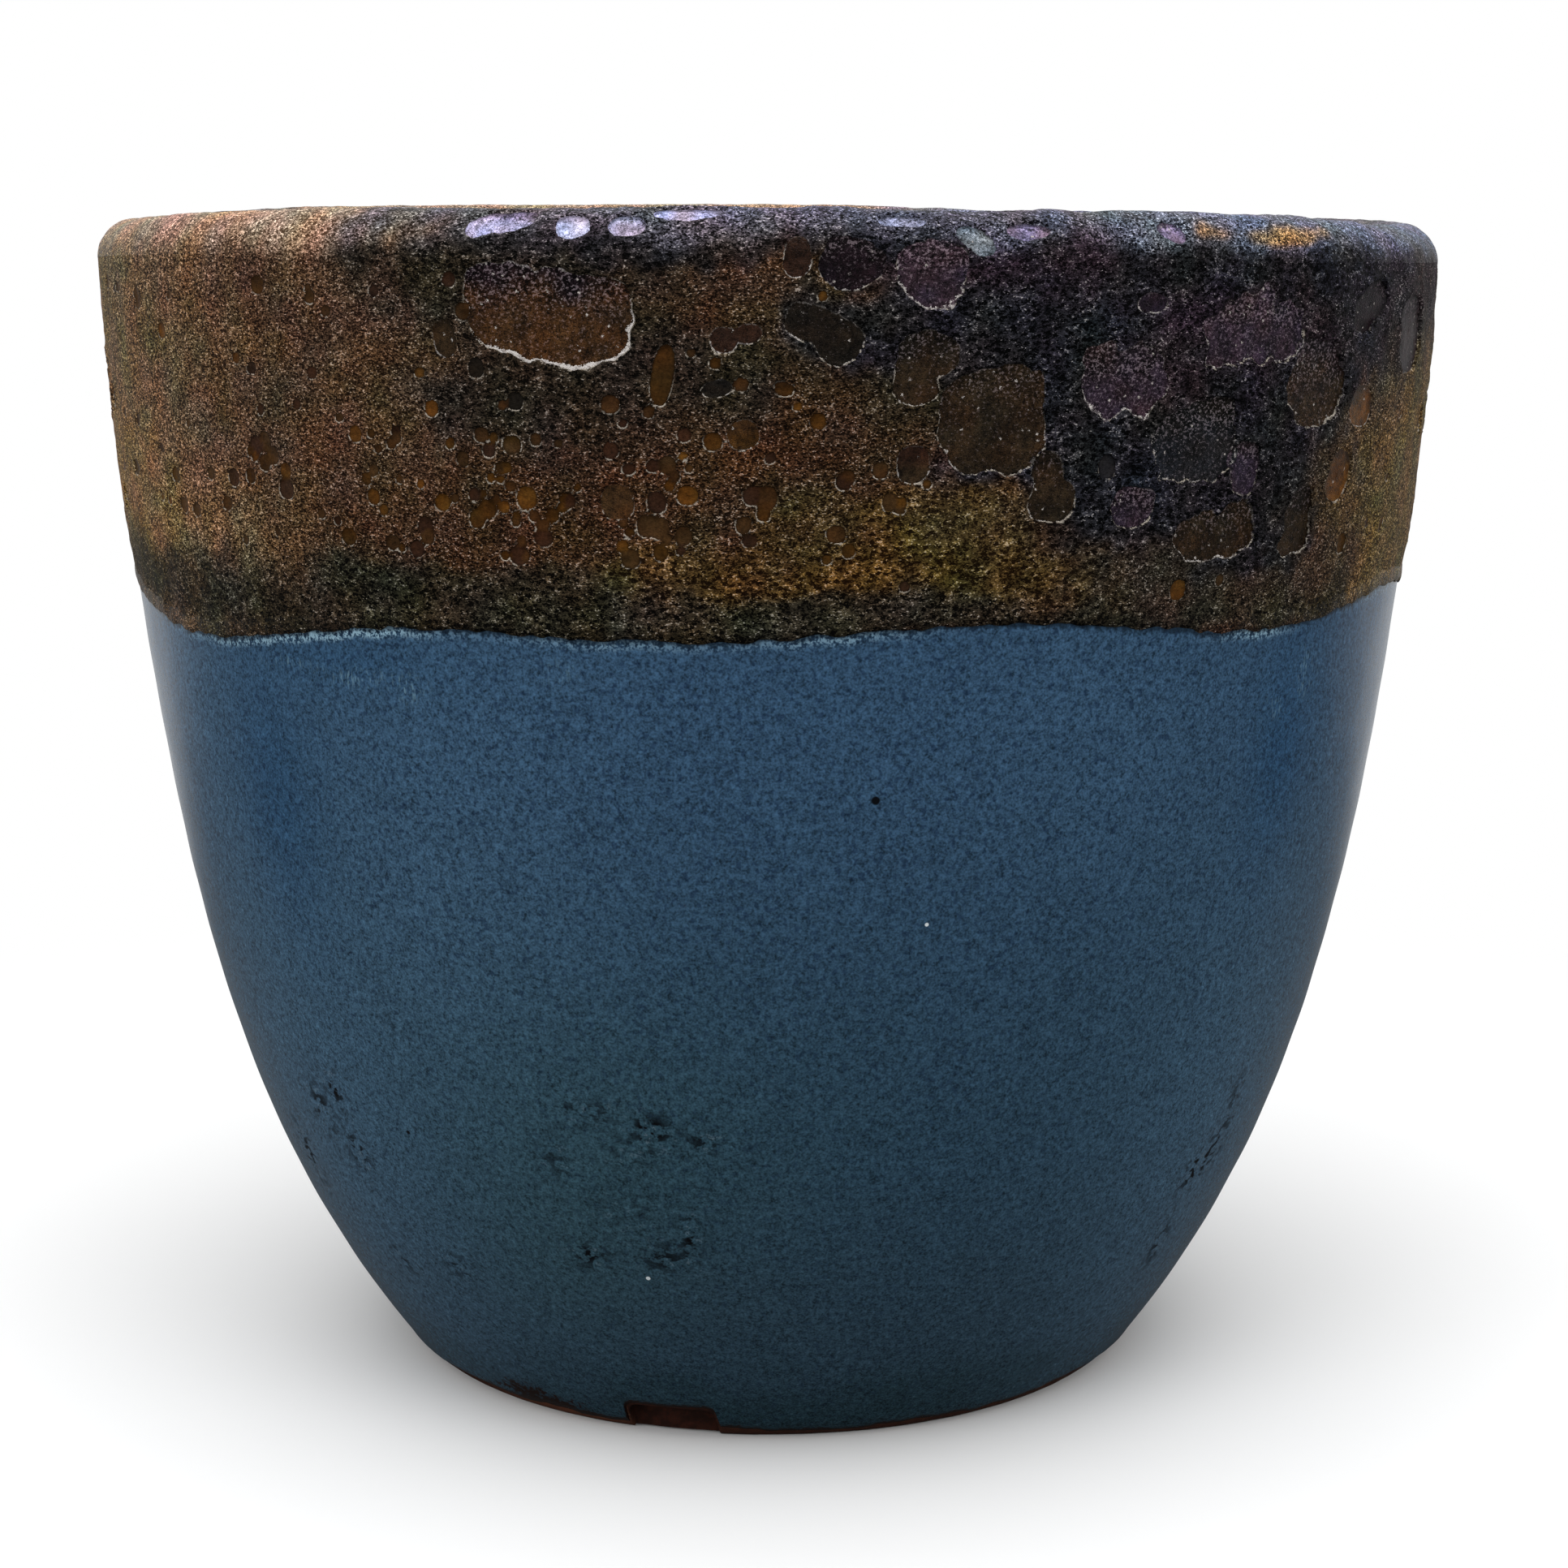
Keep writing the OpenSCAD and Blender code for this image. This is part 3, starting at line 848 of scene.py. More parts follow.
    def skin(self, azimuth: np.ndarray, along: np.ndarray) -> Skin:
        """Works out the glaze over a grid of points.

        Args:
            azimuth: one azimuth for each column.
            along: distances along the surface, as rows by columns.

        Returns:
            The skin at each row and column.
        """
        grit = self.grit
        azimuth = np.broadcast_to(azimuth, along.shape)
        radius, height = POT.skin(along, np.zeros_like(along))
        points = places(azimuth, radius, height)
        looks = self.ground_at(azimuth, height, points)
        lift = looks["relief"] * (
            0.30 * grit(points, 22.0) + 0.22 * grit(points + 11, 9.0)
            + 0.20 * grit(points + 22, 4.2) + 0.14 * grit(points + 33, 2.1)
        )
        bubble, rim = np.full(along.shape, self.no_bubble), np.zeros(along.shape)
        pool = 0.55 * looks["pit"] + 0.45 * looks["web"]
        glaze = Skin(
            lift, looks["pit"], looks["web"], pool, looks["glint"], looks["coarse"], bubble, rim
        )
        for crater in self.craters + self.bubbles:
            reach = crater.reach(0) + 6
            turn = np.abs(turn_between(azimuth[0], crater.azimuth))
            columns = np.nonzero(turn < math.degrees(reach / self.mean_r))[0]
            away = np.abs(along[:, columns] - POT.along(crater.height))
            rows = np.nonzero((away < reach + 2).any(axis=1))[0]
            if len(columns) and len(rows):
                self.stamp(crater, np.ix_(rows, columns), azimuth, along, points, glaze)
        return glaze

    def stamp(
        self, crater: Crater, cell: tuple[np.ndarray, ...], azimuth: np.ndarray,
        along: np.ndarray, points: np.ndarray, glaze: Skin,
    ) -> None:
        """Presses one crater into a skin.

        Args:
            crater: the crater.
            cell: the rows and columns that it can touch.
            azimuth: every point's azimuth.
            along: every point's distance along the surface.
            points: every point's place in space.
            glaze: the skin.
        """
        gap, across, up = self.distance(crater, azimuth[cell], along[cell], points[cell])
        width = max(lobe[2] for lobe in crater.lobes)
        small = width < self.small_width
        depth = self.bubble_depth * width if small else self.crater_depth
        edge = 0.6 if small else 0.8
        crest = 0.05 if small else 0.12 + 0.3 * crater.rough
        sunk = soft_step(edge, -edge, gap)
        glaze.lift[cell] = glaze.lift[cell] * (1 - 0.7 * sunk) - depth * sunk
        glaze.lift[cell] += crest * np.exp(-(((gap - 1.2) / 0.8) ** 2))
        nearer = gap < glaze.bubble[cell]
        glaze.bubble[cell] = np.where(nearer, gap, glaze.bubble[cell])
        # the painted rim highlight, strongest on the crater's lit side
        light = self.rim_light(crater, across, up)
        glaze.rim[cell] = np.where(nearer, light, glaze.rim[cell])
        colour = self.pool_colour(crater, up, points[cell])
        if small:
            colour = 0.85 * colour + 0.15 * glaze.pool[cell]
        inside = (gap < 1.5)[..., None] & nearer[..., None]
        glaze.pool[cell] = np.where(inside, colour, glaze.pool[cell])


def math_method(operation: str, flipped: bool = False) -> Callable[["Wire", Any], "Wire"]:
    """A method that adds a Math node on a wire and another term.

    Args:
        operation: the node's operation.
        flipped: whether the other term comes first.

    Returns:
        The method.
    """

    def method(self: "Wire", other: Any) -> "Wire":
        """The node's result."""
        terms = (other, self) if flipped else (self, other)
        return self.recipe.node("ShaderNodeMath", {"operation": operation}, dict(enumerate(terms)))

    return method


class Wire:
    """A value in a finish. Sums written with it add the Math nodes that work them out."""

    def __init__(self, recipe: "Recipe", socket: bpy.types.NodeSocket) -> None:
        """Wraps an output socket of a recipe's node."""
        self.recipe = recipe
        self.socket = socket

    __add__, __radd__ = math_method("ADD"), math_method("ADD", True)
    __sub__, __rsub__ = math_method("SUBTRACT"), math_method("SUBTRACT", True)
    __mul__, __rmul__ = math_method("MULTIPLY"), math_method("MULTIPLY", True)
    __gt__ = math_method("GREATER_THAN")
    least, most = math_method("MINIMUM"), math_method("MAXIMUM")

    def step(self, low: float, high: float) -> "Wire":
        """A smooth climb from 0 at low to 1 at high; low may be the larger of the two.

        Args:
            low: where it is 0.
            high: where it is 1.

        Returns:
            The climb.
        """
        flip = low > high
        ends = (high, low) if flip else (low, high)
        wire = self.recipe.node(
            "ShaderNodeMapRange", {"interpolation_type": "SMOOTHSTEP"},
            {0: self, 1: ends[0], 2: ends[1], 3: 0.0, 4: 1.0},
        )
        return 1.0 - wire if flip else wire


class Recipe:
    """A material in the making, with the nodes that the finishes share."""

    def __init__(self, name: str) -> None:
        """Starts a material with an empty Principled surface.

        Args:
            name: the material's name.
        """
        self.material = bpy.data.materials.new(name)
        self.material.use_nodes = True
        self.tree = self.material.node_tree
        self.tree.nodes.clear()
        self.surface = self.tree.nodes.new("ShaderNodeBsdfPrincipled")
        self.output = self.tree.nodes.new("ShaderNodeOutputMaterial")
        self.tree.links.new(self.surface.outputs[0], self.output.inputs[0])

    def node(
        self, kind: str, settings: dict[str, Any] | None = None,
        inputs: dict[Any, Any] | None = None, output: Any = 0,
    ) -> Wire:
        """Adds a node.

        Args:
            kind: the node's type.
            settings: its properties, which are set first.
            inputs: numbers, colours or wires by input name or place.
            output: the output's name or place.

        Returns:
            That output.
        """
        made = self.tree.nodes.new(kind)
        for key, value in (settings or {}).items():
            setattr(made, key, value)
        for key, value in (inputs or {}).items():
            self.feed(made.inputs[key], value)
        return Wire(self, made.outputs[output])

    def feed(self, socket: bpy.types.NodeSocket, value: Any) -> None:
        """Links a wire to a socket, or sets the socket's own value.

        Args:
            socket: the socket.
            value: a wire, a number or a colour.
        """
        if isinstance(value, Wire):
            self.tree.links.new(value.socket, socket)
        else:
            socket.default_value = value

    def set(self, **values: Any) -> None:
        """Feeds the surface's sockets, named with _ for a space."""
        for key, value in values.items():
            self.feed(self.surface.inputs[key.replace("_", " ")], value)

    def vector(self, operation: str, first: Any, second: Any, output: Any = 0) -> Wire:
        """A Vector Math node on two vectors."""
        settings, terms = {"operation": operation}, {0: first, 1: second}
        return self.node("ShaderNodeVectorMath", settings, terms, output)

    def dim(self, colour: Any, amount: Any) -> Wire:
        """A colour or a vector made larger or smaller by a factor."""
        terms = {0: colour, "Scale": amount}
        return self.node("ShaderNodeVectorMath", {"operation": "SCALE"}, terms)

    def place(self) -> Wire:
        """The point on the piece, in millimetres."""
        return self.dim(self.node("ShaderNodeTexCoord", output="Object"), 1 / MM)

    def shifted(self, point: Wire, *offset: float) -> Wire:
        """The point moved by an offset, so that two patterns don't match."""
        return self.vector("ADD", point, offset)

    def stretched(self, point: Wire, *scale: float) -> Wire:
        """The point scaled along each axis."""
        return self.vector("MULTIPLY", point, scale)

    def noise(self, point: Wire, cell: float, detail: float = 2.0) -> Wire:
        """Cloudy noise around 0.5, with bumps of about the cell's size."""
        inputs = {"Vector": point, "Scale": 1 / cell, "Detail": detail}
        return self.node("ShaderNodeTexNoise", {}, inputs)

    def cells(self, point: Wire, cell: float, output: str = "Distance") -> Wire:
        """A cell pattern of that size."""
        return self.node("ShaderNodeTexVoronoi", {}, {"Vector": point, "Scale": 1 / cell}, output)

    def lot(self, point: Wire, cell: float) -> Wire:
        """A random number for each cell of a cell pattern."""
        return self.node("ShaderNodeSeparateColor", {}, {0: self.cells(point, cell, "Color")})

    def painted(self, name: str, output: str = "Fac") -> Wire:
        """A number, or with output Color a colour, that is painted on the piece."""
        return self.node("ShaderNodeAttribute", {"attribute_name": name}, output=output)

    def mix(self, share: Any, first: Any, second: Any) -> Wire:
        """A blend of two colours."""
        return self.node("ShaderNodeMix", {"data_type": "RGBA"}, {0: share, 6: first, 7: second}, 2)

    def layer(self, colour: Wire, *coats: tuple[Any, Sequence[float]]) -> Wire:
        """A colour under coats of others.

        Args:
            colour: the colour.
            coats: the share and the display colour, in 0 to 255, of each coat.

        Returns:
            The blend.
        """
        for share, tone in coats:
            colour = self.mix(share, colour, rgb(tone))
        return colour

    def bump(self, height: Wire, depth: float, strength: float = 1.0) -> Wire:
        """A normal from a height of 0 to 1 that stands for that many millimetres."""
        inputs = {"Strength": strength, "Distance": depth * MM, "Height": height}
        return self.node("ShaderNodeBump", {}, inputs, "Normal")


def rgb(colour: Sequence[float]) -> tuple[float, float, float, float]:
    """A node colour from a display colour in 0 to 255."""
    red, green, blue = linear(colour)
    return float(red), float(green), float(blue), 1.0


@dataclass(frozen=True)
class LavaFinish:
    """The bubbled crust: small dark pits in a paler broken web, with painted glints and painted rim
    highlights.
    """

    name: str
    fine_cell: float = 1.25
    coarse_cell: float = 2.1
    gloss: float = 0.55
    specular: float = 0.04
    glint_colour: Tone = (206, 200, 194)
    rim_highlight_colour: Tone = (196, 186, 172)

    def build(self) -> bpy.types.Material:
        """Makes the material.

        Returns:
            The material.
        """
        recipe = Recipe(self.name)
        point = recipe.place()
        flat = recipe.stretched(point, 1.0, 1.0, 1.6)
        drift = {"Vector": flat, "Scale": 0.9, "Detail": 1.0}
        warp = recipe.node("ShaderNodeTexNoise", {}, drift, "Color")
        warped = recipe.node(
            "ShaderNodeVectorMath", {"operation": "MULTIPLY_ADD"},
            {0: warp, 1: (0.9, 0.9, 0.9), 2: flat},
        )
        grain = recipe.noise(flat, 0.55, 1.0)
        crumb = recipe.noise(recipe.shifted(flat, 9.0, 2.0, 6.0), 1.2, 1.0)
        coarse = recipe.painted("coarse").step(0.3, 0.7)
        small_hole = recipe.cells(warped, self.fine_cell)
        large_hole = recipe.cells(warped, self.coarse_cell)
        hole = small_hole + coarse * (large_hole - small_hole) + 0.7 * (grain - 0.5)
        hole = hole.step(0.50, 0.22)
        patchy = recipe.noise(point, 5.0, 2.0) - 0.5
        lump = recipe.noise(recipe.shifted(flat, 4.0, 7.0, 1.0), 2.6, 1.0) - 0.5
        level = (1.0 - 0.25 * coarse) * (2.1 * (crumb - 0.5) + 2.9 * (grain - 0.5))
        level = level - (0.7 + 0.3 * coarse) * hole + 0.64 - 0.06 * coarse
        level = level + (0.7 + 0.5 * coarse) * patchy + (0.5 + 1.1 * coarse) * lump
        light = level.most(0.0).least(1.0)
        web = recipe.painted("web", "Color")
        colour = recipe.mix(light, recipe.painted("pit", "Color"), web)
        lot = recipe.lot(warped, self.coarse_cell)
        ridge = 0.7 + 0.3 * lot + (1.3 + 0.6 * coarse) * level.step(0.8, 1.6)
        colour = recipe.dim(colour, ridge)
        # painted glints: pale sparks where the tone is highest and the glint share allows
        dash = recipe.noise(recipe.stretched(point, 1.0, 1.0, 1.9), 0.6, 1.0) - 0.5
        painted_glint = (level + 2.6 * dash).step(1.25, 1.6)
        painted_glint = painted_glint * (0.55 + recipe.painted("glint")).least(1.0)
        painted_highlight = recipe.mix(0.35, recipe.dim(web, 3.2), rgb(self.glint_colour))
        colour = recipe.mix(painted_glint, colour, painted_highlight)

        gap = recipe.painted("bubble") + 0.5 * (grain - 0.5) + 0.4 * (crumb - 0.5)
        disc = gap.step(0.10, -0.10)
        tone_and_edge_shade = 1.2 * recipe.noise(point, 0.9, 1.0) + 0.8 * grain
        # painted shade in a ring just inside each bubble's edge
        tone_and_edge_shade = tone_and_edge_shade * (1.0 - 0.35 * gap.step(-0.7, -0.1))
        colour = recipe.mix(disc, colour, recipe.dim(recipe.painted("pool", "Color"), tone_and_edge_shade))
        # painted highlight along the lit rims of bubbles and craters
        rim = gap.step(-0.05, 0.05) * gap.step(0.42, 0.25) * recipe.painted("rim").step(0.15, 0.9)
        broken = recipe.noise(point, 1.3, 2.0).step(0.44, 0.56)
        colour = recipe.layer(colour, ((0.65 * rim * broken).least(1.0), self.rim_highlight_colour))

        height = (1.2 * crumb + 1.1 * grain + 1.5 * lump - 0.5 * hole) * (1.0 - 0.8 * disc)
        recipe.set(
            Base_Color=colour,
            Roughness=self.gloss + 0.15 * light - 0.15 * disc,
            Normal=recipe.bump(height + 0.4 * rim, 0.45),
            Specular_IOR_Level=self.specular,
        )
        return recipe.material


@dataclass(frozen=True)
class PoolFinish:
    """The glassy pools: stained glass-like glaze stippled with painted glints and sparkle, with
    painted rim highlights and painted shade near their edges.
    """

    name: str = "pool_glass"
    spot_cell: float = 1.9
    specular: float = 0.12
    sparkle_highlight_colour: Tone = (146, 134, 140)
    glint_speck_colour: Tone = (206, 198, 192)
    rim_highlight_colour: Tone = (204, 198, 194)

    def build(self) -> bpy.types.Material:
        """Makes the material.

        Returns:
            The material.
        """
        recipe = Recipe(self.name)
        point = recipe.place()
        flat = recipe.stretched(point, 1.0, 1.0, 1.25)
        rim = recipe.painted("rim")
        grain = recipe.noise(flat, 0.42, 1.0)
        crumb = recipe.noise(recipe.shifted(flat, 9.0, 2.0, 6.0), 0.9, 2.0)
        rough = recipe.painted("rough")
        loose = 0.5 + 1.6 * rough
        gap = recipe.painted("bubble") + loose * ((grain - 0.5) + (crumb - 0.5))
        shore = gap.step(-2.6, -0.2) * (1.0 - rim.step(0.0, 0.3))
        rough = (rough + 0.5 * shore).least(1.0)
        shade = 2.4 * recipe.noise(point, 1.6) + 2.0 * grain - 1.2
        pool = recipe.painted("pool", "Color")
        colour = recipe.dim(pool, shade.most(0.3))
        level = (1.8 + 1.8 * rough) * (1.4 * (crumb - 0.5) + 0.6 * (grain - 0.5)) + 0.26 * rough
        dark = level.step(0.0, -0.45) * (0.25 + 0.6 * rough)
        colour = recipe.dim(colour, 1.0 - dark)
        # painted sparkle highlights, thickest on rough pools
        light = level.step(0.46, 0.85) * (0.1 + 0.8 * rough)
        painted_sparkle = recipe.mix(0.4, recipe.dim(pool, 3.6), rgb(self.sparkle_highlight_colour))
        colour = recipe.mix(light, colour, painted_sparkle)
        # painted glints: a few tiny bright specks
        spot = recipe.shifted(point, 3.0, 8.0, 2.0)
        lucky = (recipe.lot(spot, self.spot_cell) + 0.16 * rough) > 0.86
        speck = recipe.cells(spot, self.spot_cell) + 0.7 * (grain - 0.5)
        bright = lucky * speck.step(0.20, 0.09)
        colour = recipe.layer(colour, (0.7 * bright, self.glint_speck_colour))

        # painted highlight along each pool's lit rim
        broken = recipe.noise(point, 1.3, 2.0).step(0.42, 0.56)
        strong = (rim - 1.3).most(0.0)
        line = (gap + 0.75 * strong).step(0.0, 0.15) * rim.step(0.1, 0.9)
        line = line * (0.75 * broken + 0.6 * strong).least(1.0) * gap.step(0.6, 0.4)
        colour = recipe.layer(colour, (line, self.rim_highlight_colour))
        # painted shade near the pool's edge, where its rim highlight is weak
        colour = recipe.dim(colour, 1.0 - (0.45 + 0.4 * rough) * shore * gap.step(-1.6, 0.1))
        height = 1.2 * grain + bright + 0.4 * line + crumb * (0.3 + 1.4 * rough)
        recipe.set(
            Base_Color=colour,
            Roughness=0.3 + 0.15 * grain + 0.2 * rough,
            Normal=recipe.bump(height, 0.3, 0.8),
            Specular_IOR_Level=self.specular,
        )
        return recipe.material


@dataclass(frozen=True)
class BlueFinish:
    """The satin blue glaze: speckled, greener and darker towards the foot, paler towards the sides
    with painted sheen.

    Pinholes and specks are each an azimuth, a height and a radius.
    """

    name: str = "blue_satin"
    specular: float = 0.05
    high: Tone = (48, 73, 97)
    middle: Tone = (42, 65, 82)
    low: Tone = (43, 63, 77)
    foot: Tone = (33, 53, 62)
    painted_highlight: Tone = (74, 104, 128)
    deep: Tone = (28, 64, 96)
    moss: Tone = (44, 70, 72)
    worm: Tone = (16, 32, 58)
    fringe: Tone = (136, 168, 186)
    shadow: Tone = (16, 26, 36)
    run: Tone = (112, 146, 164)
    soot_and_shade: Tone = (10, 12, 16)
    chalk: Tone = (104, 122, 134)
    bare: Tone = (30, 18, 15)
    white: Tone = (206, 214, 218)
    pinholes: tuple[Row, ...] = ((8.4, 200.4, 1.1), (-38.0, 96.0, 0.6), (150.0, 160.0, 1.0))
    specks: tuple[Row, ...] = ((13.1, 166.0, 0.5), (-13.0, 59.0, 0.6), (-165.0, 120.0, 0.6))

    def build(self) -> bpy.types.Material:
        """Makes the material.

        Returns:
            The material.
        """
        recipe = Recipe(self.name)
        point = recipe.place()
        height = recipe.node("ShaderNodeSeparateXYZ", {}, {0: point}, "Z")
        soft = recipe.noise(point, 7.0, 2.0)
        level = height + 40.0 * (recipe.noise(point, 26.0, 3.0) - 0.5)
        colour = recipe.mix(level.step(95.0, 235.0), rgb(self.middle), rgb(self.high))
        # the paler coat read from the piece is painted sheen, strongest towards the sides
        colour = recipe.layer(
            colour, (level.step(110.0, 35.0), self.low), (level.step(34.0, 6.0), self.foot),
            (0.6 * recipe.painted("painted_highlight"), self.painted_highlight), (0.6 * recipe.painted("deep"), self.deep),
            (0.5 * recipe.painted("moss"), self.moss),
        )
        speckle = recipe.noise(point, 1.5, 1.0)
        grain = recipe.noise(recipe.shifted(point, 5.0, 1.0, 9.0), 0.6, 1.0)
        shade = 1.6 * speckle + 2.2 * grain + 0.3 * soft - 1.0
        colour = recipe.dim(colour, shade.most(0.3))
        worm = recipe.noise(recipe.shifted(point, 7.0, 1.0, 3.0), 1.5, 1.0).step(0.46, 0.30)
        streaks = recipe.noise(recipe.stretched(point, 0.9, 0.9, 0.07), 1.0, 2.0)
        ticks = recipe.noise(recipe.stretched(point, 1.7, 1.7, 0.32), 1.0, 1.0)
        below = recipe.painted("below") + 2.0 * (streaks - 0.5) + 1.4 * (speckle - 0.5)
        spatter = (0.5 * speckle + 0.6 * grain).step(0.50, 0.62)
        fringe = recipe.painted("fringe") * below.step(3.2, 0.8) * spatter
        run = recipe.painted("run") * ticks.step(0.56, 0.68)
        scuff = recipe.painted("scuff")
        crackle = recipe.noise(recipe.stretched(point, 1.0, 1.0, 1.4), 3.4, 3.0)
        scuffed = 0.65 * scuff * crackle.step(0.51, 0.60)
        chalk = scuff * crackle.step(0.40, 0.34) * grain.step(0.4, 0.6)
        bare = recipe.painted("bare") + 1.2 * (speckle - 0.5)
        colour = recipe.layer(
            colour, (worm * (0.25 + 0.25 * level.step(60.0, 200.0)), self.worm),
            ((0.9 * fringe).least(1.0), self.fringe), (0.75 * below.step(1.3, 0.0), self.shadow),
            (0.55 * run, self.run), (scuffed.least(1.0), self.soot_and_shade),
            ((0.35 * chalk).least(1.0), self.chalk), (bare.step(0.35, 0.75), self.bare),
        )
        for dots, tone in ((self.pinholes, self.soot_and_shade), (self.specks, self.white)):
            for azimuth, at_height, size in dots:
                radius = POT.clay(at_height) + POT.blue
                spot = places(np.array(azimuth), radius, np.array(at_height))
                away = recipe.vector("DISTANCE", point, tuple(spot), "Value")
                colour = recipe.layer(colour, (away.step(size * 1.3, size * 0.8), tone))
        recipe.set(
            Base_Color=colour,
            Roughness=0.20 + 0.10 * speckle + 0.3 * scuffed,
            Normal=recipe.bump(soft + 0.5 * speckle + 0.2 * grain - scuffed, 0.2, 0.3),
            Specular_IOR_Level=self.specular,
        )
        return recipe.material


@dataclass(frozen=True)
class ClayFinish:
    """Bare fired stoneware: red-brown and sanded, darker where marked, with painted shade in the
    foot's notches.
    """

    name: str = "red_clay"
    grog_cell: float = 1.4
    pit_cell: float = 2.3
    specular: float = 0.35
    body: Tone = (122, 74, 52)
    burnt: Tone = (84, 48, 36)
    grog: Tone = (168, 128, 98)
    pit: Tone = (34, 20, 16)
    soot_and_shade_tones: tuple[Tone, Tone] = ((36, 15, 8), (50, 22, 12))

    def build(self) -> bpy.types.Material:
        """Makes the material.

        Returns:
            The material.
        """
        recipe = Recipe(self.name)
        point = recipe.place()
        cloud = recipe.noise(point, 24.0, 4.0)
        colour = recipe.mix(0.25 + 0.75 * cloud.step(0.3, 0.7), rgb(self.burnt), rgb(self.body))
        grain = recipe.noise(point, 0.8, 2.0)
        colour = recipe.dim(colour, 0.7 + 0.6 * grain)
        grog = recipe.cells(point, self.grog_cell).step(0.4, 0.2)
        grog = (recipe.lot(point, self.grog_cell) > 0.88) * grog
        away = recipe.shifted(point, 4.0, 4.0, 1.0)
        pit = recipe.cells(away, self.pit_cell).step(0.34, 0.18)
        pit = (recipe.lot(away, self.pit_cell) > 0.86) * pit
        colour = recipe.layer(colour, (0.5 * grog, self.grog), (0.7 * pit, self.pit))
        blotch = recipe.noise(point, 3.0)
        soot_and_shade_tones = recipe.mix(blotch.step(0.4, 0.6), *[rgb(tone) for tone in self.soot_and_shade_tones])
        # darker where marked: painted shade in the foot's notches, and a darker foot elsewhere
        colour = recipe.mix(recipe.painted("soot_and_shade"), colour, recipe.dim(soot_and_shade_tones, 0.5 + grain))
        recipe.set(
            Base_Color=colour,
            Roughness=0.72 + 0.2 * grain,
            Normal=recipe.bump(grain + 0.4 * blotch - pit, 0.3, 0.5),
            Specular_IOR_Level=self.specular,
        )
        return recipe.material


def deselect() -> None:
    """Leaves edit mode and selects nothing."""
    if bpy.context.object and bpy.context.object.mode != "OBJECT":
        bpy.ops.object.mode_set(mode="OBJECT")
    bpy.ops.object.select_all(action="DESELECT")


def take(piece: bpy.types.Object) -> None:
    """Selects just one piece and makes it the active one.

    Args:
        piece: the piece.
    """
    deselect()
    piece.select_set(True)
    bpy.context.view_layer.objects.active = piece


def read(items: Any, name: str, width: int, kind: type) -> np.ndarray:
    """One property of every vertex, edge or face of a mesh.

    Args:
        items: the mesh's vertices, edges or polygons.
        name: the property.
        width: how many numbers it has.
        kind: the type of those numbers.

    Returns:
        One row for each item.
    """
    flat = np.empty(len(items) * width, kind)
    items.foreach_get(name, flat)
    return flat.reshape(-1, width)


def corners(mesh: bpy.types.Mesh) -> np.ndarray:
    """Every vertex of a mesh, as rows of x, y, z."""
    return read(mesh.vertices, "co", 3, np.float32).astype(float)


def edge_ends(mesh: bpy.types.Mesh) -> np.ndarray:
    """Every edge of a mesh, as the places of its two vertices in the mesh."""
    return read(mesh.edges, "vertices", 2, np.int32)


def select_only(mesh: bpy.types.Mesh, kind: str, chosen: np.ndarray) -> None:
    """Selects just those edges or faces; the piece has to be out of edit mode.

    Args:
        mesh: the piece's mesh.
        kind: "edges" or "polygons".
        chosen: whether each of them is selected.
    """
    for name in ("polygons", "vertices", "edges"):
        items = getattr(mesh, name)
        items.foreach_set("select", chosen if name == kind else np.zeros(len(items), bool))


def write_places(mesh: bpy.types.Mesh, points: np.ndarray) -> None:
    """Moves the mesh's vertices to those places, given in millimetres."""
    mesh.vertices.foreach_set("co", (points * MM).astype(np.float32).ravel())
    mesh.update()


def paint(mesh: bpy.types.Mesh, name: str, values: np.ndarray) -> None:
    """Paints one number or one colour on each vertex.

    Args:
        mesh: the mesh.
        name: the attribute's name.
        values: the numbers, or the colours as rows of three.
    """
    if values.ndim == 1:
        layer = mesh.attributes.new(name, "FLOAT", "POINT")
        layer.data.foreach_set("value", values.astype(np.float32))
        return
    layer = mesh.attributes.new(name, "FLOAT_COLOR", "POINT")
    full = np.ones((len(values), 4), np.float32)
    full[:, :3] = np.clip(values, 0.0, 1.0)
    layer.data.foreach_set("color", full.ravel())


@contextmanager
def editing(faces: bool = False) -> Iterator[None]:
    """Keeps the active piece in edit mode, with edges or faces to select.

    Args:
        faces: whether it is faces.
    """
    bpy.context.tool_settings.mesh_select_mode = (False, not faces, faces)
    bpy.ops.object.mode_set(mode="EDIT")
    yield
    bpy.ops.object.mode_set(mode="OBJECT")


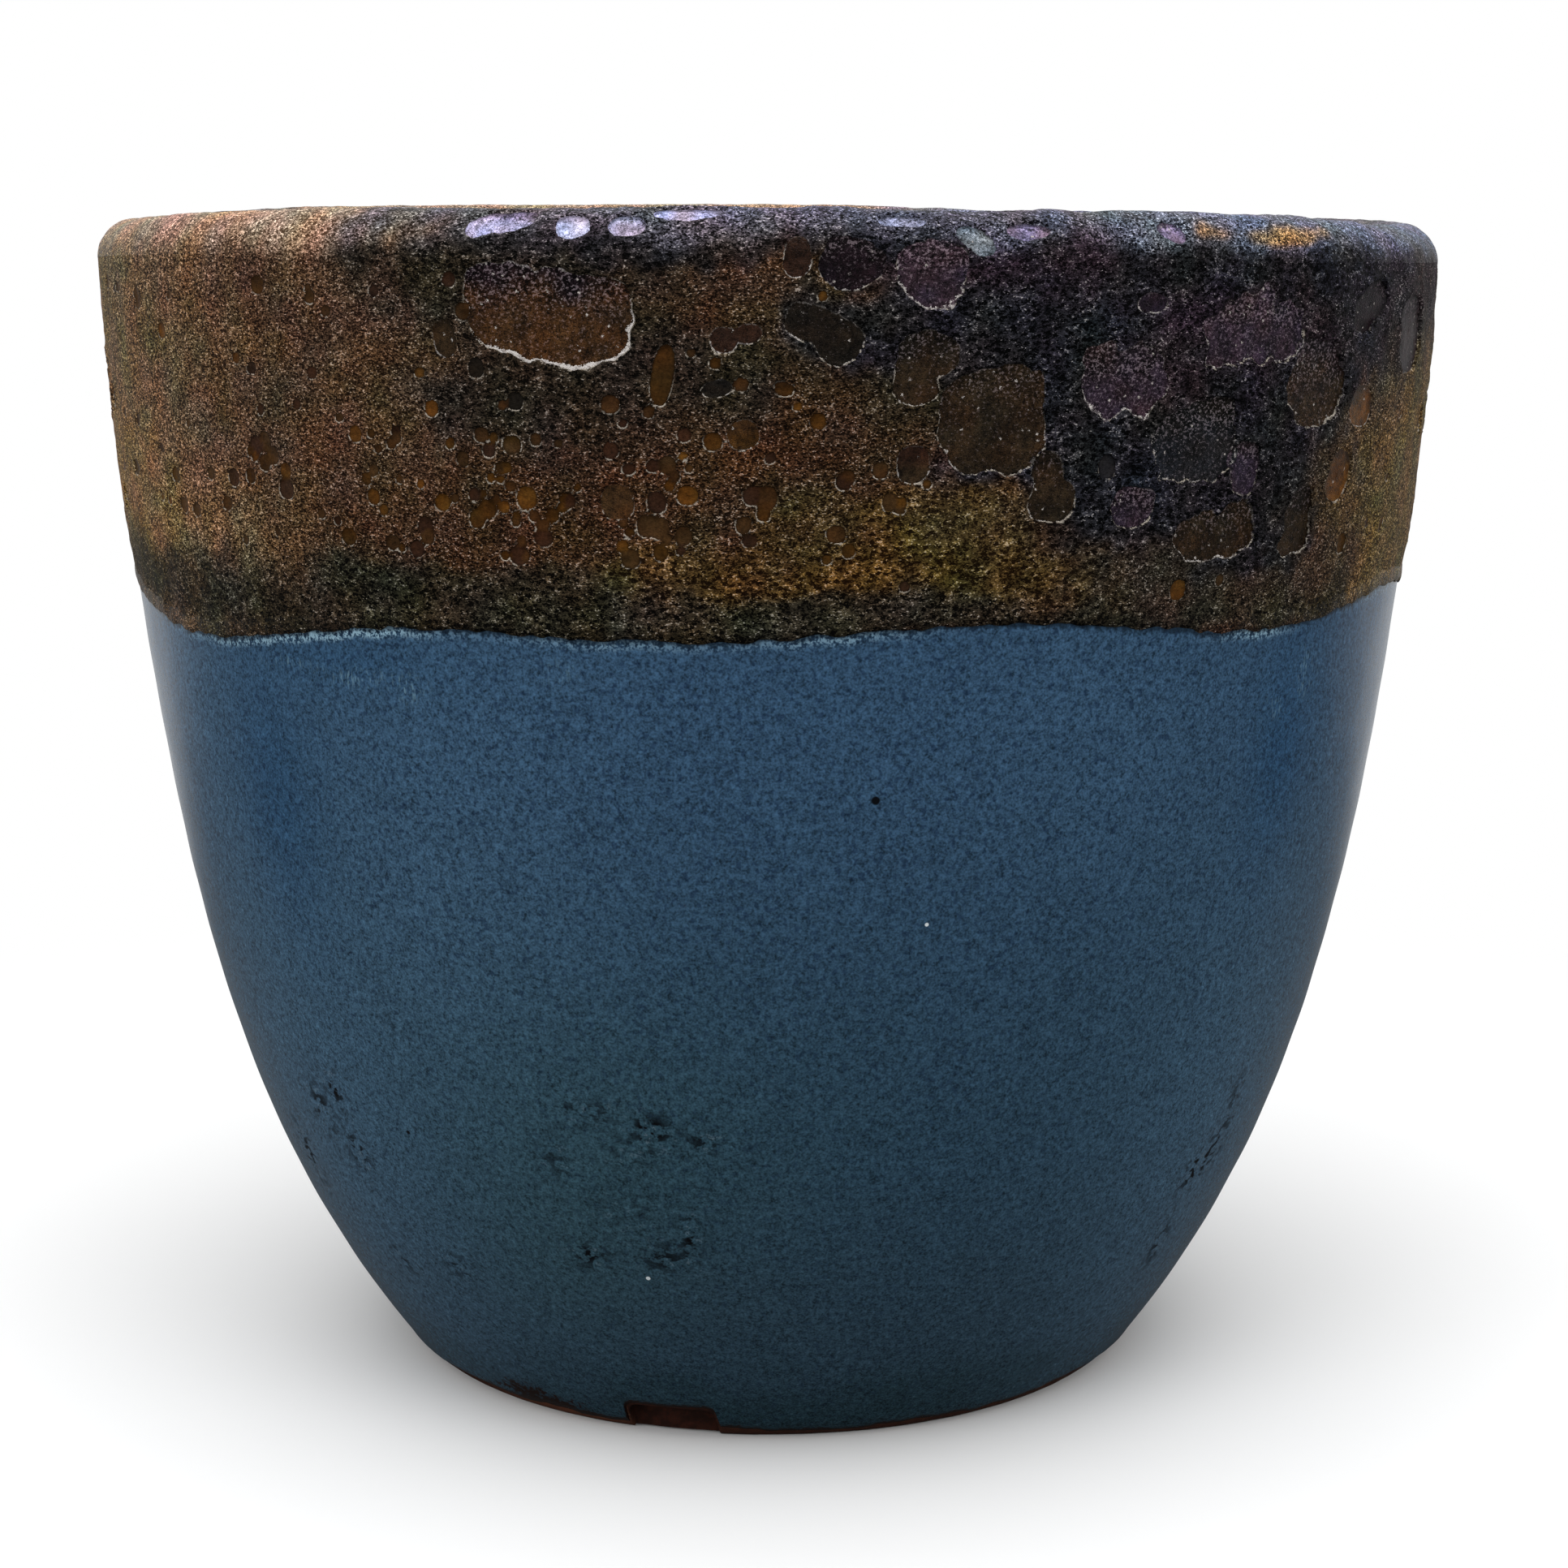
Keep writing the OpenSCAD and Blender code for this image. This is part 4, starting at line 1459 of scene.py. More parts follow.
@dataclass
class Sleeve:
    """A closed ring-shaped shell: an open sleeve of many rows with its ends joined.

    Rows run round the pot and columns run up it. The face rows come first and the back
    rows lead from the last of them back to the first.
    """

    name: str
    columns: int
    face_rows: int
    back_rows: int = 2

    @property
    def rows(self) -> int:
        """All rows, with the back ones."""
        return self.face_rows + self.back_rows

    def build(self) -> "Sleeve":
        """Models the shell as a tall sleeve, one unit from row to row.

        Returns:
            The sleeve itself.
        """
        deselect()
        tall = self.face_rows - 1
        bpy.ops.mesh.primitive_cylinder_add(
            vertices=self.columns, radius=1.0, depth=tall, end_fill_type="NOTHING",
            location=(0.0, 0.0, -tall / 2),
        )
        bpy.ops.object.transform_apply(location=True)
        self.piece = bpy.context.object
        self.piece.name = self.piece.data.name = self.name
        mesh = self.piece.data
        ends, heights = edge_ends(mesh), corners(mesh)[:, 2]
        select_only(mesh, "edges", np.abs(heights[ends[:, 0]] - heights[ends[:, 1]]) > 0.5)
        with editing():
            if tall > 1:
                bpy.ops.mesh.subdivide_edgering(number_cuts=tall - 1, interpolation="LINEAR")
        self.select_rows(tall)
        with editing():
            for _ in range(self.back_rows):
                bpy.ops.mesh.extrude_edges_move(TRANSFORM_OT_translate={"value": (0, 0, -1)})
        self.select_rows(0, self.rows - 1)
        with editing():
            bpy.ops.mesh.bridge_edge_loops()
        points = corners(mesh)
        self.row = np.rint(-points[:, 2]).astype(int)
        turn = np.arctan2(points[:, 0], -points[:, 1])
        self.column = np.rint(turn / (2 * math.pi) * self.columns).astype(int) % self.columns
        return self

    def select_rows(self, *rows: int) -> None:
        """Selects the edges that run along rows of a sleeve that isn't shaped yet.

        Args:
            rows: the rows.
        """
        mesh = self.piece.data
        found = np.rint(-corners(mesh)[:, 2]).astype(int)
        select_only(mesh, "edges", self.runs_along(found, rows))

    def runs_along(self, found: np.ndarray, rows: Iterable[int]) -> np.ndarray:
        """Whether each edge runs along one of the rows.

        Args:
            found: the row of each vertex.
            rows: the rows.

        Returns:
            One answer for each edge.
        """
        ends = found[edge_ends(self.piece.data)]
        return (ends[:, 0] == ends[:, 1]) & np.isin(ends[:, 0], list(rows))

    def shape(self, azimuth: np.ndarray, radius: np.ndarray, height: np.ndarray) -> None:
        """Moves the sleeve on to the pot.

        Args:
            azimuth: degrees, for each column or for rows by columns.
            radius: millimetres, as rows by columns.
            height: millimetres, as rows by columns.
        """
        azimuth = np.broadcast_to(azimuth, radius.shape)
        grid = places(azimuth, radius, sagged(azimuth, height))
        write_places(self.piece.data, grid[self.row, self.column])
        take(self.piece)
        with editing():
            bpy.ops.mesh.select_all(action="SELECT")
            bpy.ops.mesh.normals_make_consistent(inside=False)

    def smooth(self, angle: float = SMOOTH_ANGLE, creases: Iterable[int] = ()) -> None:
        """Smooths the shell except over sharp corners and along some rows.

        Args:
            angle: the least angle, in degrees, that stays sharp.
            creases: the rows that stay sharp.
        """
        take(self.piece)
        bpy.ops.object.shade_smooth_by_angle(angle=math.radians(angle))
        kept = self.runs_along(self.row, creases)
        if kept.any():
            layers = self.piece.data.attributes
            sharp = layers.get("sharp_edge") or layers.new("sharp_edge", "BOOLEAN", "EDGE")
            flags = read(sharp.data, "value", 1, bool)[:, 0]
            sharp.data.foreach_set("value", flags | kept)

    def paint(self, name: str, face: np.ndarray) -> None:
        """Paints values given for the face rows; the back rows repeat the last of them."""
        back = np.repeat(face[-1:], self.back_rows, axis=0)
        paint(self.piece.data, name, np.concatenate([face, back])[self.row, self.column])

    def wear(self, skin: Skin) -> None:
        """Paints everything that the lava finish reads."""
        for name in ("pit", "web", "pool", "glint", "coarse", "bubble", "rim"):
            self.paint(name, getattr(skin, name))


def round_columns(count: int, crowding: float = 0.0) -> np.ndarray:
    """Azimuths for columns all round.

    Args:
        count: how many there are.
        crowding: how much closer together they are at the front.

    Returns:
        The azimuths, from the front.
    """
    turn = np.arange(count) / count * 2 * math.pi
    turn = np.where(turn > math.pi, turn - 2 * math.pi, turn)
    return np.degrees(turn - crowding * np.sin(turn))


def hand_over(
    piece: bpy.types.Object, material: bpy.types.Material, slot: str, *nodes: str
) -> None:
    """Dresses a finished piece and says which CAD nodes it stands for.

    Args:
        piece: the finished piece.
        material: its material.
        slot: the record's material slot; not used.
        nodes: the CAD nodes that it replaces.
    """
    piece.data.materials.clear()
    piece.data.materials.append(material)
    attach(piece, BODY)
    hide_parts(*nodes)
    log.info("%s: %d faces for %s", piece.name, len(piece.data.polygons), ", ".join(nodes))


@dataclass
class LavaCoat:
    """The lava glaze: the band outside, the lip, the collar inside and the rolled edge."""

    lava: LavaField
    columns: int = 1040
    crowding: float = 0.22
    band_rows: int = 92
    band_end: float = 3.4
    lip_rows: int = 34
    lip_back_rows: int = 10
    lip_tuck: float = 1.2
    lip_tuck_drop: float = 0.8
    collar_columns: int = 720
    collar_rows: int = 36
    roll_rows: int = 12
    roll_spare: float = 0.4
    roll_sink: float = 1.8
    sink: float = 2.5
    thin_length: float = 16.0
    edge_thinning: float = 0.75

    def build(self) -> None:
        """Models and dresses all four pieces."""
        self.azimuth = round_columns(self.columns, self.crowding)
        self.band(LavaFinish("lava_crust").build())
        self.lip(LavaFinish("lip_gloss", gloss=0.34).build())
        self.collar(LavaFinish("collar_gloss", gloss=0.30).build())
        self.roll(LavaFinish("rolled_gloss", gloss=0.32).build())

    def lay(
        self, sleeve: Sleeve, azimuth: np.ndarray, along: np.ndarray, lift: np.ndarray,
        behind: np.ndarray | None = None, sink: float | None = None,
    ) -> None:
        """Shapes a sleeve on the pot's skin.

        Args:
            sleeve: the sleeve.
            azimuth: one azimuth for each column.
            along: the face's distances along the surface, as rows by columns.
            lift: how far the face lies out from the surface.
            behind: the back's distances along it; without them it runs straight back.
            sink: how far the back lies under the surface, if not the usual depth.
        """
        behind = along[[-1, 0]] if behind is None else behind
        depth = self.sink if sink is None else sink
        front = POT.skin(along, lift)
        back = POT.skin(behind, np.full(behind.shape, -depth))
        sleeve.shape(azimuth, *(np.vstack(pair) for pair in zip(front, back)))

    def band(self, material: bpy.types.Material) -> None:
        """Models the crust from the lip's rounding down to the glaze line.

        Args:
            material: its finish.
        """
        sleeve = Sleeve("lava_band", self.columns, self.band_rows).build()
        end = POT.quarter + POT.shoulder - glaze_line(self.azimuth) - self.band_end
        share = np.linspace(0.0, 1.0, self.band_rows)[:, None]
        along = POT.quarter + share * (end - POT.quarter)
        skin = self.lava.skin(self.azimuth, along)
        thin = soft_step(self.thin_length, 0.0, end - along)
        lift = skin.lift * (1.0 - 0.4 * thin) - self.edge_thinning * thin
        self.lay(sleeve, self.azimuth, along, lift)
        sleeve.wear(skin)
        sleeve.smooth(creases=(0,))
        hand_over(sleeve.piece, material, "lava_glaze", "lava_glaze")

    def lip(self, material: bpy.types.Material) -> None:
        """Models the glaze over the lip, with its two edges tucked under the neighbours.

        Args:
            material: its finish.
        """
        sleeve = Sleeve("lip_crust", self.columns, self.lip_rows + 2, self.lip_back_rows).build()
        inside, outside = -POT.quarter, POT.quarter
        low, high = inside - self.lip_tuck, outside + self.lip_tuck
        line = np.concatenate([[low], np.linspace(inside, outside, self.lip_rows), [high]])
        along = np.repeat(line[:, None], self.columns, axis=1)
        skin = self.lava.skin(self.azimuth, along)
        lift = skin.lift.copy()
        lift[[0, -1]] -= self.lip_tuck_drop
        behind = np.linspace(high, low, self.lip_back_rows)[:, None]
        behind = np.repeat(behind, self.columns, axis=1)
        self.lay(sleeve, self.azimuth, along, lift, behind)
        sleeve.wear(skin)
        sleeve.smooth(creases=(1, self.lip_rows))
        hand_over(sleeve.piece, material, "plum_glaze", "lip_glaze")

    def collar(self, material: bpy.types.Material) -> None:
        """Models the glaze that laps down the inside, with a ragged, dripping lower edge.

        Args:
            material: its finish.
        """
        sleeve = Sleeve("inner_collar", self.collar_columns, self.collar_rows).build()
        azimuth = round_columns(self.collar_columns)
        deepest = POT.shoulder - COLLAR_LOW
        edge = places(azimuth, COLLAR_R, 0.0)
        drip = 0.5 + 0.5 * self.lava.grit(edge, 26.0)
        drip = deepest * (0.62 + 0.3 * drip**2 + 0.06 * self.lava.grit(edge, 7.0))
        share = np.linspace(0.0, 1.0, self.collar_rows)[:, None] ** 0.9
        along = -POT.quarter - share * drip
        skin = self.lava.skin(azimuth, along)
        thin = np.sqrt(np.clip(1.0 - share, 0.0, 1.0) * 6.0).clip(0.0, 1.0)
        lift = skin.lift * (0.3 + 0.3 * thin) - 2.1 * (1.0 - thin)
        lift[0] = skin.lift[0]
        self.lay(sleeve, azimuth, along, lift)
        sleeve.wear(skin)
        sleeve.smooth(creases=(0,))
        hand_over(sleeve.piece, material, "plum_glaze", "inner_glaze")

    def roll(self, material: bpy.types.Material) -> None:
        """Models the thick rolled edge where the lava glaze stops on the blue.

        Args:
            material: its finish.
        """
        sleeve = Sleeve("rolled_edge", self.columns, self.roll_rows).build()
        grit = self.lava.grit
        turn = np.linspace(-0.5, 0.5, self.roll_rows)[:, None] * math.pi
        line = glaze_line(self.azimuth)
        edge = places(self.azimuth, LINE_R, line)
        ragged = 0.7 * grit(edge, 6.0) + 0.5 * grit(edge, 2.4)
        thick = 0.85 + 0.2 * grit(edge + 60, 9.0) + 0.15 * grit(edge + 80, 3.0)
        half = (ROLL_HIGH - ROLL_LOW) / 2 + self.roll_spare
        height = line + half + ragged - half * np.sin(turn)
        along = POT.quarter + POT.shoulder - height
        skin = self.lava.skin(self.azimuth, along)
        round_out = np.cos(turn)
        out = POT.blue - POT.crust - 0.15 + thick * round_out**0.8 + 0.3 * skin.lift * round_out
        self.lay(sleeve, self.azimuth, along, out, sink=self.roll_sink)
        dark = soft_step(-0.6, 1.2, turn)[..., None] * np.ones_like(skin.pit)
        skin.pit = skin.pit * (1 - 0.55 * dark)
        skin.web = skin.web * (1 - 0.45 * dark)
        sleeve.wear(skin)
        sleeve.smooth()
        hand_over(sleeve.piece, material, "dark_glaze", "glaze_roll")


@dataclass
class PoolSet:
    """The glassy pools that lie in the craters."""

    lava: LavaField
    level: float = -0.75
    spacing: float = 0.8
    margin: float = 5.0
    cut_at: float = 1.8
    thickness: float = 0.6

    def build(self) -> None:
        """Models each pool, joins them and dresses them."""
        pools = [self.pool(crater) for crater in self.lava.craters]
        deselect()
        for pool in pools:
            pool.select_set(True)
        bpy.context.view_layer.objects.active = pools[0]
        bpy.ops.object.join()
        piece = bpy.context.object
        piece.name = piece.data.name = "glass_pools"
        hand_over(piece, PoolFinish().build(), "amber_glaze", "crater_pools")

    def pool(self, crater: Crater) -> bpy.types.Object:
        """Models one pool: a fine grid in the crater, cut to its outline and thickened.

        Args:
            crater: the crater.

        Returns:
            The pool.
        """
        wide, tall = (2 * crater.reach(axis) + self.margin for axis in (0, 1))
        deselect()
        bpy.ops.mesh.primitive_grid_add(
            x_subdivisions=round(wide / self.spacing), y_subdivisions=round(tall / self.spacing),
            size=1.0,
        )
        piece = bpy.context.object
        mesh = piece.data
        flat = corners(mesh)
        azimuth = crater.azimuth + np.degrees(flat[:, 0] * wide / self.lava.mean_r)
        along = POT.along(crater.height) - flat[:, 1] * tall
        radius, height = POT.skin(along, np.zeros(len(flat)))
        points = places(azimuth, radius, height)
        gap, across, up = self.lava.distance(crater, azimuth, along, points)
        self.lay(mesh, crater, azimuth, along, points, gap)
        rough = 0.6 + 0.8 * soft_step(-0.3, 0.8, up / crater.half_height)
        paint(mesh, "bubble", gap)
        paint(mesh, "rim", self.lava.rim_light(crater, across, up))
        paint(mesh, "rough", crater.rough * rough)
        paint(mesh, "pool", self.lava.pool_colour(crater, up, points))
        faces = read(mesh.polygons, "vertices", 4, np.int32)
        select_only(mesh, "polygons", gap[faces].min(axis=1) > self.cut_at)
        with editing(faces=True):
            bpy.ops.mesh.delete(type="FACE")
        wall = piece.modifiers.new("wall", "SOLIDIFY")
        wall.thickness = self.thickness * MM
        wall.offset = -1.0
        bpy.ops.object.modifier_apply(modifier="wall")
        bpy.ops.object.shade_smooth_by_angle(angle=math.radians(SMOOTH_ANGLE))
        return piece

    def lay(
        self, mesh: bpy.types.Mesh, crater: Crater, azimuth: np.ndarray, along: np.ndarray,
        points: np.ndarray, gap: np.ndarray,
    ) -> None:
        """Lays a pool's grid in its crater, a little wavy and sunk at its edge.

        Args:
            mesh: the grid.
            crater: the crater.
            azimuth: each vertex's azimuth.
            along: its distance along the surface.
            points: its place on the surface.
            gap: how far it lies outside the crater's outline.
        """
        grit = self.lava.grit
        wave = (0.07 + 0.12 * crater.rough) * grit(points + 3, 3.0)
        wave = wave + 0.06 * crater.rough * grit(points, 1.6)
        shore = 0.2 * soft_step(-1.3, 0.1, gap)
        lift = self.level + wave + shore - 0.9 * soft_step(0.5, 1.9, gap)
        radius, height = POT.skin(along, lift)
        write_places(mesh, places(azimuth, radius, sagged(azimuth, height)))


@dataclass(frozen=True)
class Mark:
    """A soft-edged place on the blue glaze, with its half width and half height."""

    azimuth: float
    height: float
    half_width: float
    half_height: float
    strength: float = 1.0


SCUFFS = (
    (-10.9, 107, 5, 4, 2.4), (-17, 111, 10, 4, 1.3), (-6, 104, 7, 2.4, 1.6), (-13, 99, 10, 6, 0.8),
    (-21, 96, 5, 7, 1.0), (-19, 65, 6, 4, 1.8), (-8, 74, 3, 9, 1.6), (-11, 66, 7, 5, 1.5),
    (-14, 80, 12, 8, 0.6), (-48, 104, 4, 6, 1.8), (-52, 95, 6, 9, 1.6), (-47.5, 84, 5, 9, 1.6),
    (-61, 74, 6, 12, 1.5), (-37, 52, 7, 5, 1.4), (-48, 48, 5, 7, 1.0), (-37, 130, 6, 8, 0.5),
    (-3, 98, 6, 5, 0.6), (52.5, 74, 6, 7, 2.0), (56, 80, 6, 9, 1.4), (52, 50, 5, 8, 1.4),
    (56, 96, 5, 8, 1.0), (120, 70, 10, 6), (150, 40, 8, 6, 0.8), (-150, 90, 10, 8, 0.9),
    (-100, 50, 9, 6, 0.8), (180, 110, 7, 5, 0.7), (90, 36, 6, 6, 0.7),
)
FRINGES = (
    (-44, 236, 12, 1, 1.3), (-34, 236, 6, 1, 1.2), (5, 240, 6, 1, 0.7), (43, 238, 4, 1, 1.1),
    (-12, 240, 8, 1, 0.5), (66, 240, 6, 1, 0.5), (110, 238, 12, 1, 0.9), (160, 240, 10, 1, 0.7),
    (205, 238, 14, 1, 1.1), (250, 238, 9, 1, 0.7),
)
RUNS = (
    (-43, 229.5, 10, 2.2, 0.9), (-35, 228, 10, 2.6, 1.0), (-30, 226.5, 6, 3.4, 1.2),
    (51, 224, 5, 7, 1.0), (46.5, 215.5, 6, 3, 0.8), (-16, 233, 8, 3, 0.5),
    (120, 226, 14, 4, 0.9), (210, 228, 14, 4, 0.9),
)
DEEPS = (
    (-47, 190, 18, 34, 0.9), (49, 204, 16, 32, 1.0), (-36, 232, 30, 8, 0.5),
    (110, 190, 26, 30, 0.8), (190, 200, 30, 30, 0.8), (250, 180, 24, 34, 0.8),
)
# where the blue is made paler with painted sheen, mostly towards the sides
PAINTED_SHEENS = (
    (-54, 90, 60, 120, 0.8), (54, 80, 55, 110, 0.7), (-60, 230, 30, 40, 0.4),
    (-27, 150, 45, 110, 0.35), (28, 215, 40, 40, 0.15), (140, 90, 60, 100, 0.5),
    (-140, 110, 60, 110, 0.5),
)
MOSSES = (
    (-16, 100, 55, 45, 0.8), (-24, 60, 30, 30, 0.4), (120, 90, 50, 40, 0.7),
    (-120, 80, 50, 40, 0.7),
)
BARES = ((-34, 5, 26, 6), (160, 5, 40, 5), (70, 4, 20, 4))
MARKS = {
    "scuff": (SCUFFS, 1.6), "run": (RUNS, 1.0), "deep": (DEEPS, 1.0), "painted_highlight": (PAINTED_SHEENS, 1.0),
    "moss": (MOSSES, 1.0),
}


def marked(
    rows: Iterable[Row], azimuth: np.ndarray, height: np.ndarray, level: bool = False
) -> np.ndarray:
    """How strongly marks show at each point.

    Args:
        rows: each mark's numbers, in the order that Mark has them.
        azimuth: degrees.
        height: millimetres.
        level: whether only the azimuth counts, with the half width in degrees.

    Returns:
        The sum of the marks' soft spots.
    """
    total = np.zeros(np.broadcast_shapes(azimuth.shape, height.shape))
    for mark in (Mark(*row) for row in rows):
        turn = turn_between(azimuth, mark.azimuth)
        across = turn if level else np.radians(turn) * POT.clay(mark.height)
        up = 0.0 if level else (height - mark.height) / mark.half_height
        total = total + mark.strength * np.exp(-((across / mark.half_width) ** 2 + up**2))
    return total


def notch_roof(azimuth: np.ndarray, radius: float) -> np.ndarray:
    """Height of the notches' roof at each azimuth.

    Args:
        azimuth: degrees.
        radius: the radius that the notches are measured at.

    Returns:
        The heights, which are 0 between the notches.
    """
    roof = np.zeros(np.shape(azimuth))
    for centre in NOTCH_AZIMUTHS:
        turn = turn_between(azimuth, centre)
        across = np.abs(np.sin(np.radians(turn))) * radius
        share = np.where(np.abs(turn) < 90, across / (NOTCH_W / 2), 2.0)
        roof = np.maximum(roof, NOTCH_H * np.clip(1.0 - share**12, 0.0, 1.0) ** (1 / 5))
    return roof


def notched_columns(spread: int, radius: float) -> np.ndarray:
    """Azimuths for columns all round, with extra ones at the sides of each notch.

    Args:
        spread: how many columns there would be without the extra ones.
        radius: the radius that the notches are measured at.

    Returns:
        The azimuths in the order of a sleeve's columns, which start at the front.
    """
    turns = list(np.arange(spread) * 360.0 / spread - 180.0)
    half = NOTCH_W / 2
    for centre in NOTCH_AZIMUTHS:
        middle = float(turn_between(centre, 0.0))
        edges = [middle + side * math.degrees(math.asin(half / radius)) for side in (-1, 1)]
        turns = [t for t in turns if all(abs(float(turn_between(t, e))) > 0.8 for e in edges)]
        for edge, side in zip(edges, (-1, 1)):
            for step in (-1.6, -0.9, -0.45, -0.2, -0.06, 0.03, 0.6, 1.3):
                turns.append(edge + side * math.degrees(step / radius))
    azimuth = np.array(sorted(turns))
    return np.roll(azimuth, -int(np.argmin(np.abs(azimuth))))


@dataclass
class BlueCoat:
    """The smooth blue glaze of the lower outside."""

    lava: LavaField
    spread: int = 540
    rows: int = 130
    back_rows: int = 28
    overlap: float = 4.0
    inset: float = 0.4
    sink: float = 0.3

    def build(self) -> None:
        """Models and dresses the coat."""
        azimuth = notched_columns(self.spread, POT.foot_r + 1)
        sleeve = Sleeve("blue_coat", len(azimuth), self.rows, self.back_rows).build()
        low, top = self.lower_edge(azimuth), glaze_line(azimuth) + self.overlap
        share = np.linspace(0.0, 1.0, self.rows)[:, None] ** 0.94
        height = low + share * (top - low)
        behind = np.linspace(1.0, 0.0, self.back_rows)[:, None]
        behind = low + self.inset + behind * (top - low - 2 * self.inset)
        radius = POT.clay(height) + self.swell(azimuth, height, low)
        radius = np.vstack([radius, POT.clay(behind) - self.sink])
        sleeve.shape(azimuth, radius, np.vstack([height, behind]))
        self.mark(sleeve, azimuth, height, low)
        sleeve.smooth(60)
        hand_over(sleeve.piece, BlueFinish().build(), "blue_glaze", "blue_glaze")

    def lower_edge(self, azimuth: np.ndarray) -> np.ndarray:
        """Works out the height where the coat stops, which is ragged and clears the notches.

        Args:
            azimuth: each column's azimuth.

        Returns:
            The height of each column's lowest point.
        """
        grit = self.lava.grit
        foot = places(azimuth, FOOT_COAT_R, 0.0)
        ragged = 0.7 * grit(foot, 9.0) + 0.5 * grit(foot, 3.5)
        low = BLUE_LOW - 0.9 + ragged + 1.2 * np.clip(grit(foot + 7, 40.0), 0, 1)
        roof = notch_roof(azimuth, POT.foot_r)
        return np.maximum(low, np.where(roof > 0.5, roof + 0.7 + 0.3 * ragged, 0.0))

    def swell(self, azimuth: np.ndarray, height: np.ndarray, low: np.ndarray) -> np.ndarray:
        """Works out how far the coat stands out from the clay.

        Args:
            azimuth: each column's azimuth.
            height: each point's height.
            low: the height where the coat stops.

        Returns:
            The thickness, with faint throwing rings, waves and a bead at the lower edge.
        """
        surface = places(azimuth, POT.clay(height), height)
        rings = 0.16 * np.sin(height / 3.4 + 0.6 * np.sin(np.radians(azimuth)))
        rings = rings * soft_step(4, 30, height)
        wave = 0.25 * self.lava.grit(surface, 60.0) + 0.10 * self.lava.grit(surface, 14.0)
        wave = wave + 0.3 * rings
        bead = 0.25 * np.exp(-(((height - low - 2.0) / 1.6) ** 2))
        edge = soft_step(2.6, 0.0, height - low)
        return POT.blue + wave + bead - (POT.blue + 0.15) * edge**2

    def mark(
        self, sleeve: Sleeve, azimuth: np.ndarray, height: np.ndarray, low: np.ndarray
    ) -> None:
        """Paints the distance below the lava glaze, the marks with the painted sheen, and the bare
        edge.

        Args:
            sleeve: the coat.
            azimuth: each column's azimuth.
            height: each point's height.
            low: the height where the coat stops.
        """
        line = glaze_line(azimuth)
        wide = np.broadcast_to(azimuth, height.shape)
        ragged = self.lava.grit(places(azimuth, LINE_R, line), 6.0)
        sleeve.paint("below", line + 0.7 * ragged - height)
        sleeve.paint("fringe", marked(FRINGES, wide, height, level=True))
        for name, (rows, most) in MARKS.items():
            sleeve.paint(name, np.clip(marked(rows, wide, height), 0.0, most))
        foot = places(wide, FOOT_COAT_R, height)
        worn = 0.8 * marked(BARES, wide, height)
        worn = worn + soft_step(1.8, 0.2, height - low) + 0.25 * self.lava.grit(foot, 5.0)
        sleeve.paint("bare", np.clip(worn, 0.0, 1.5))


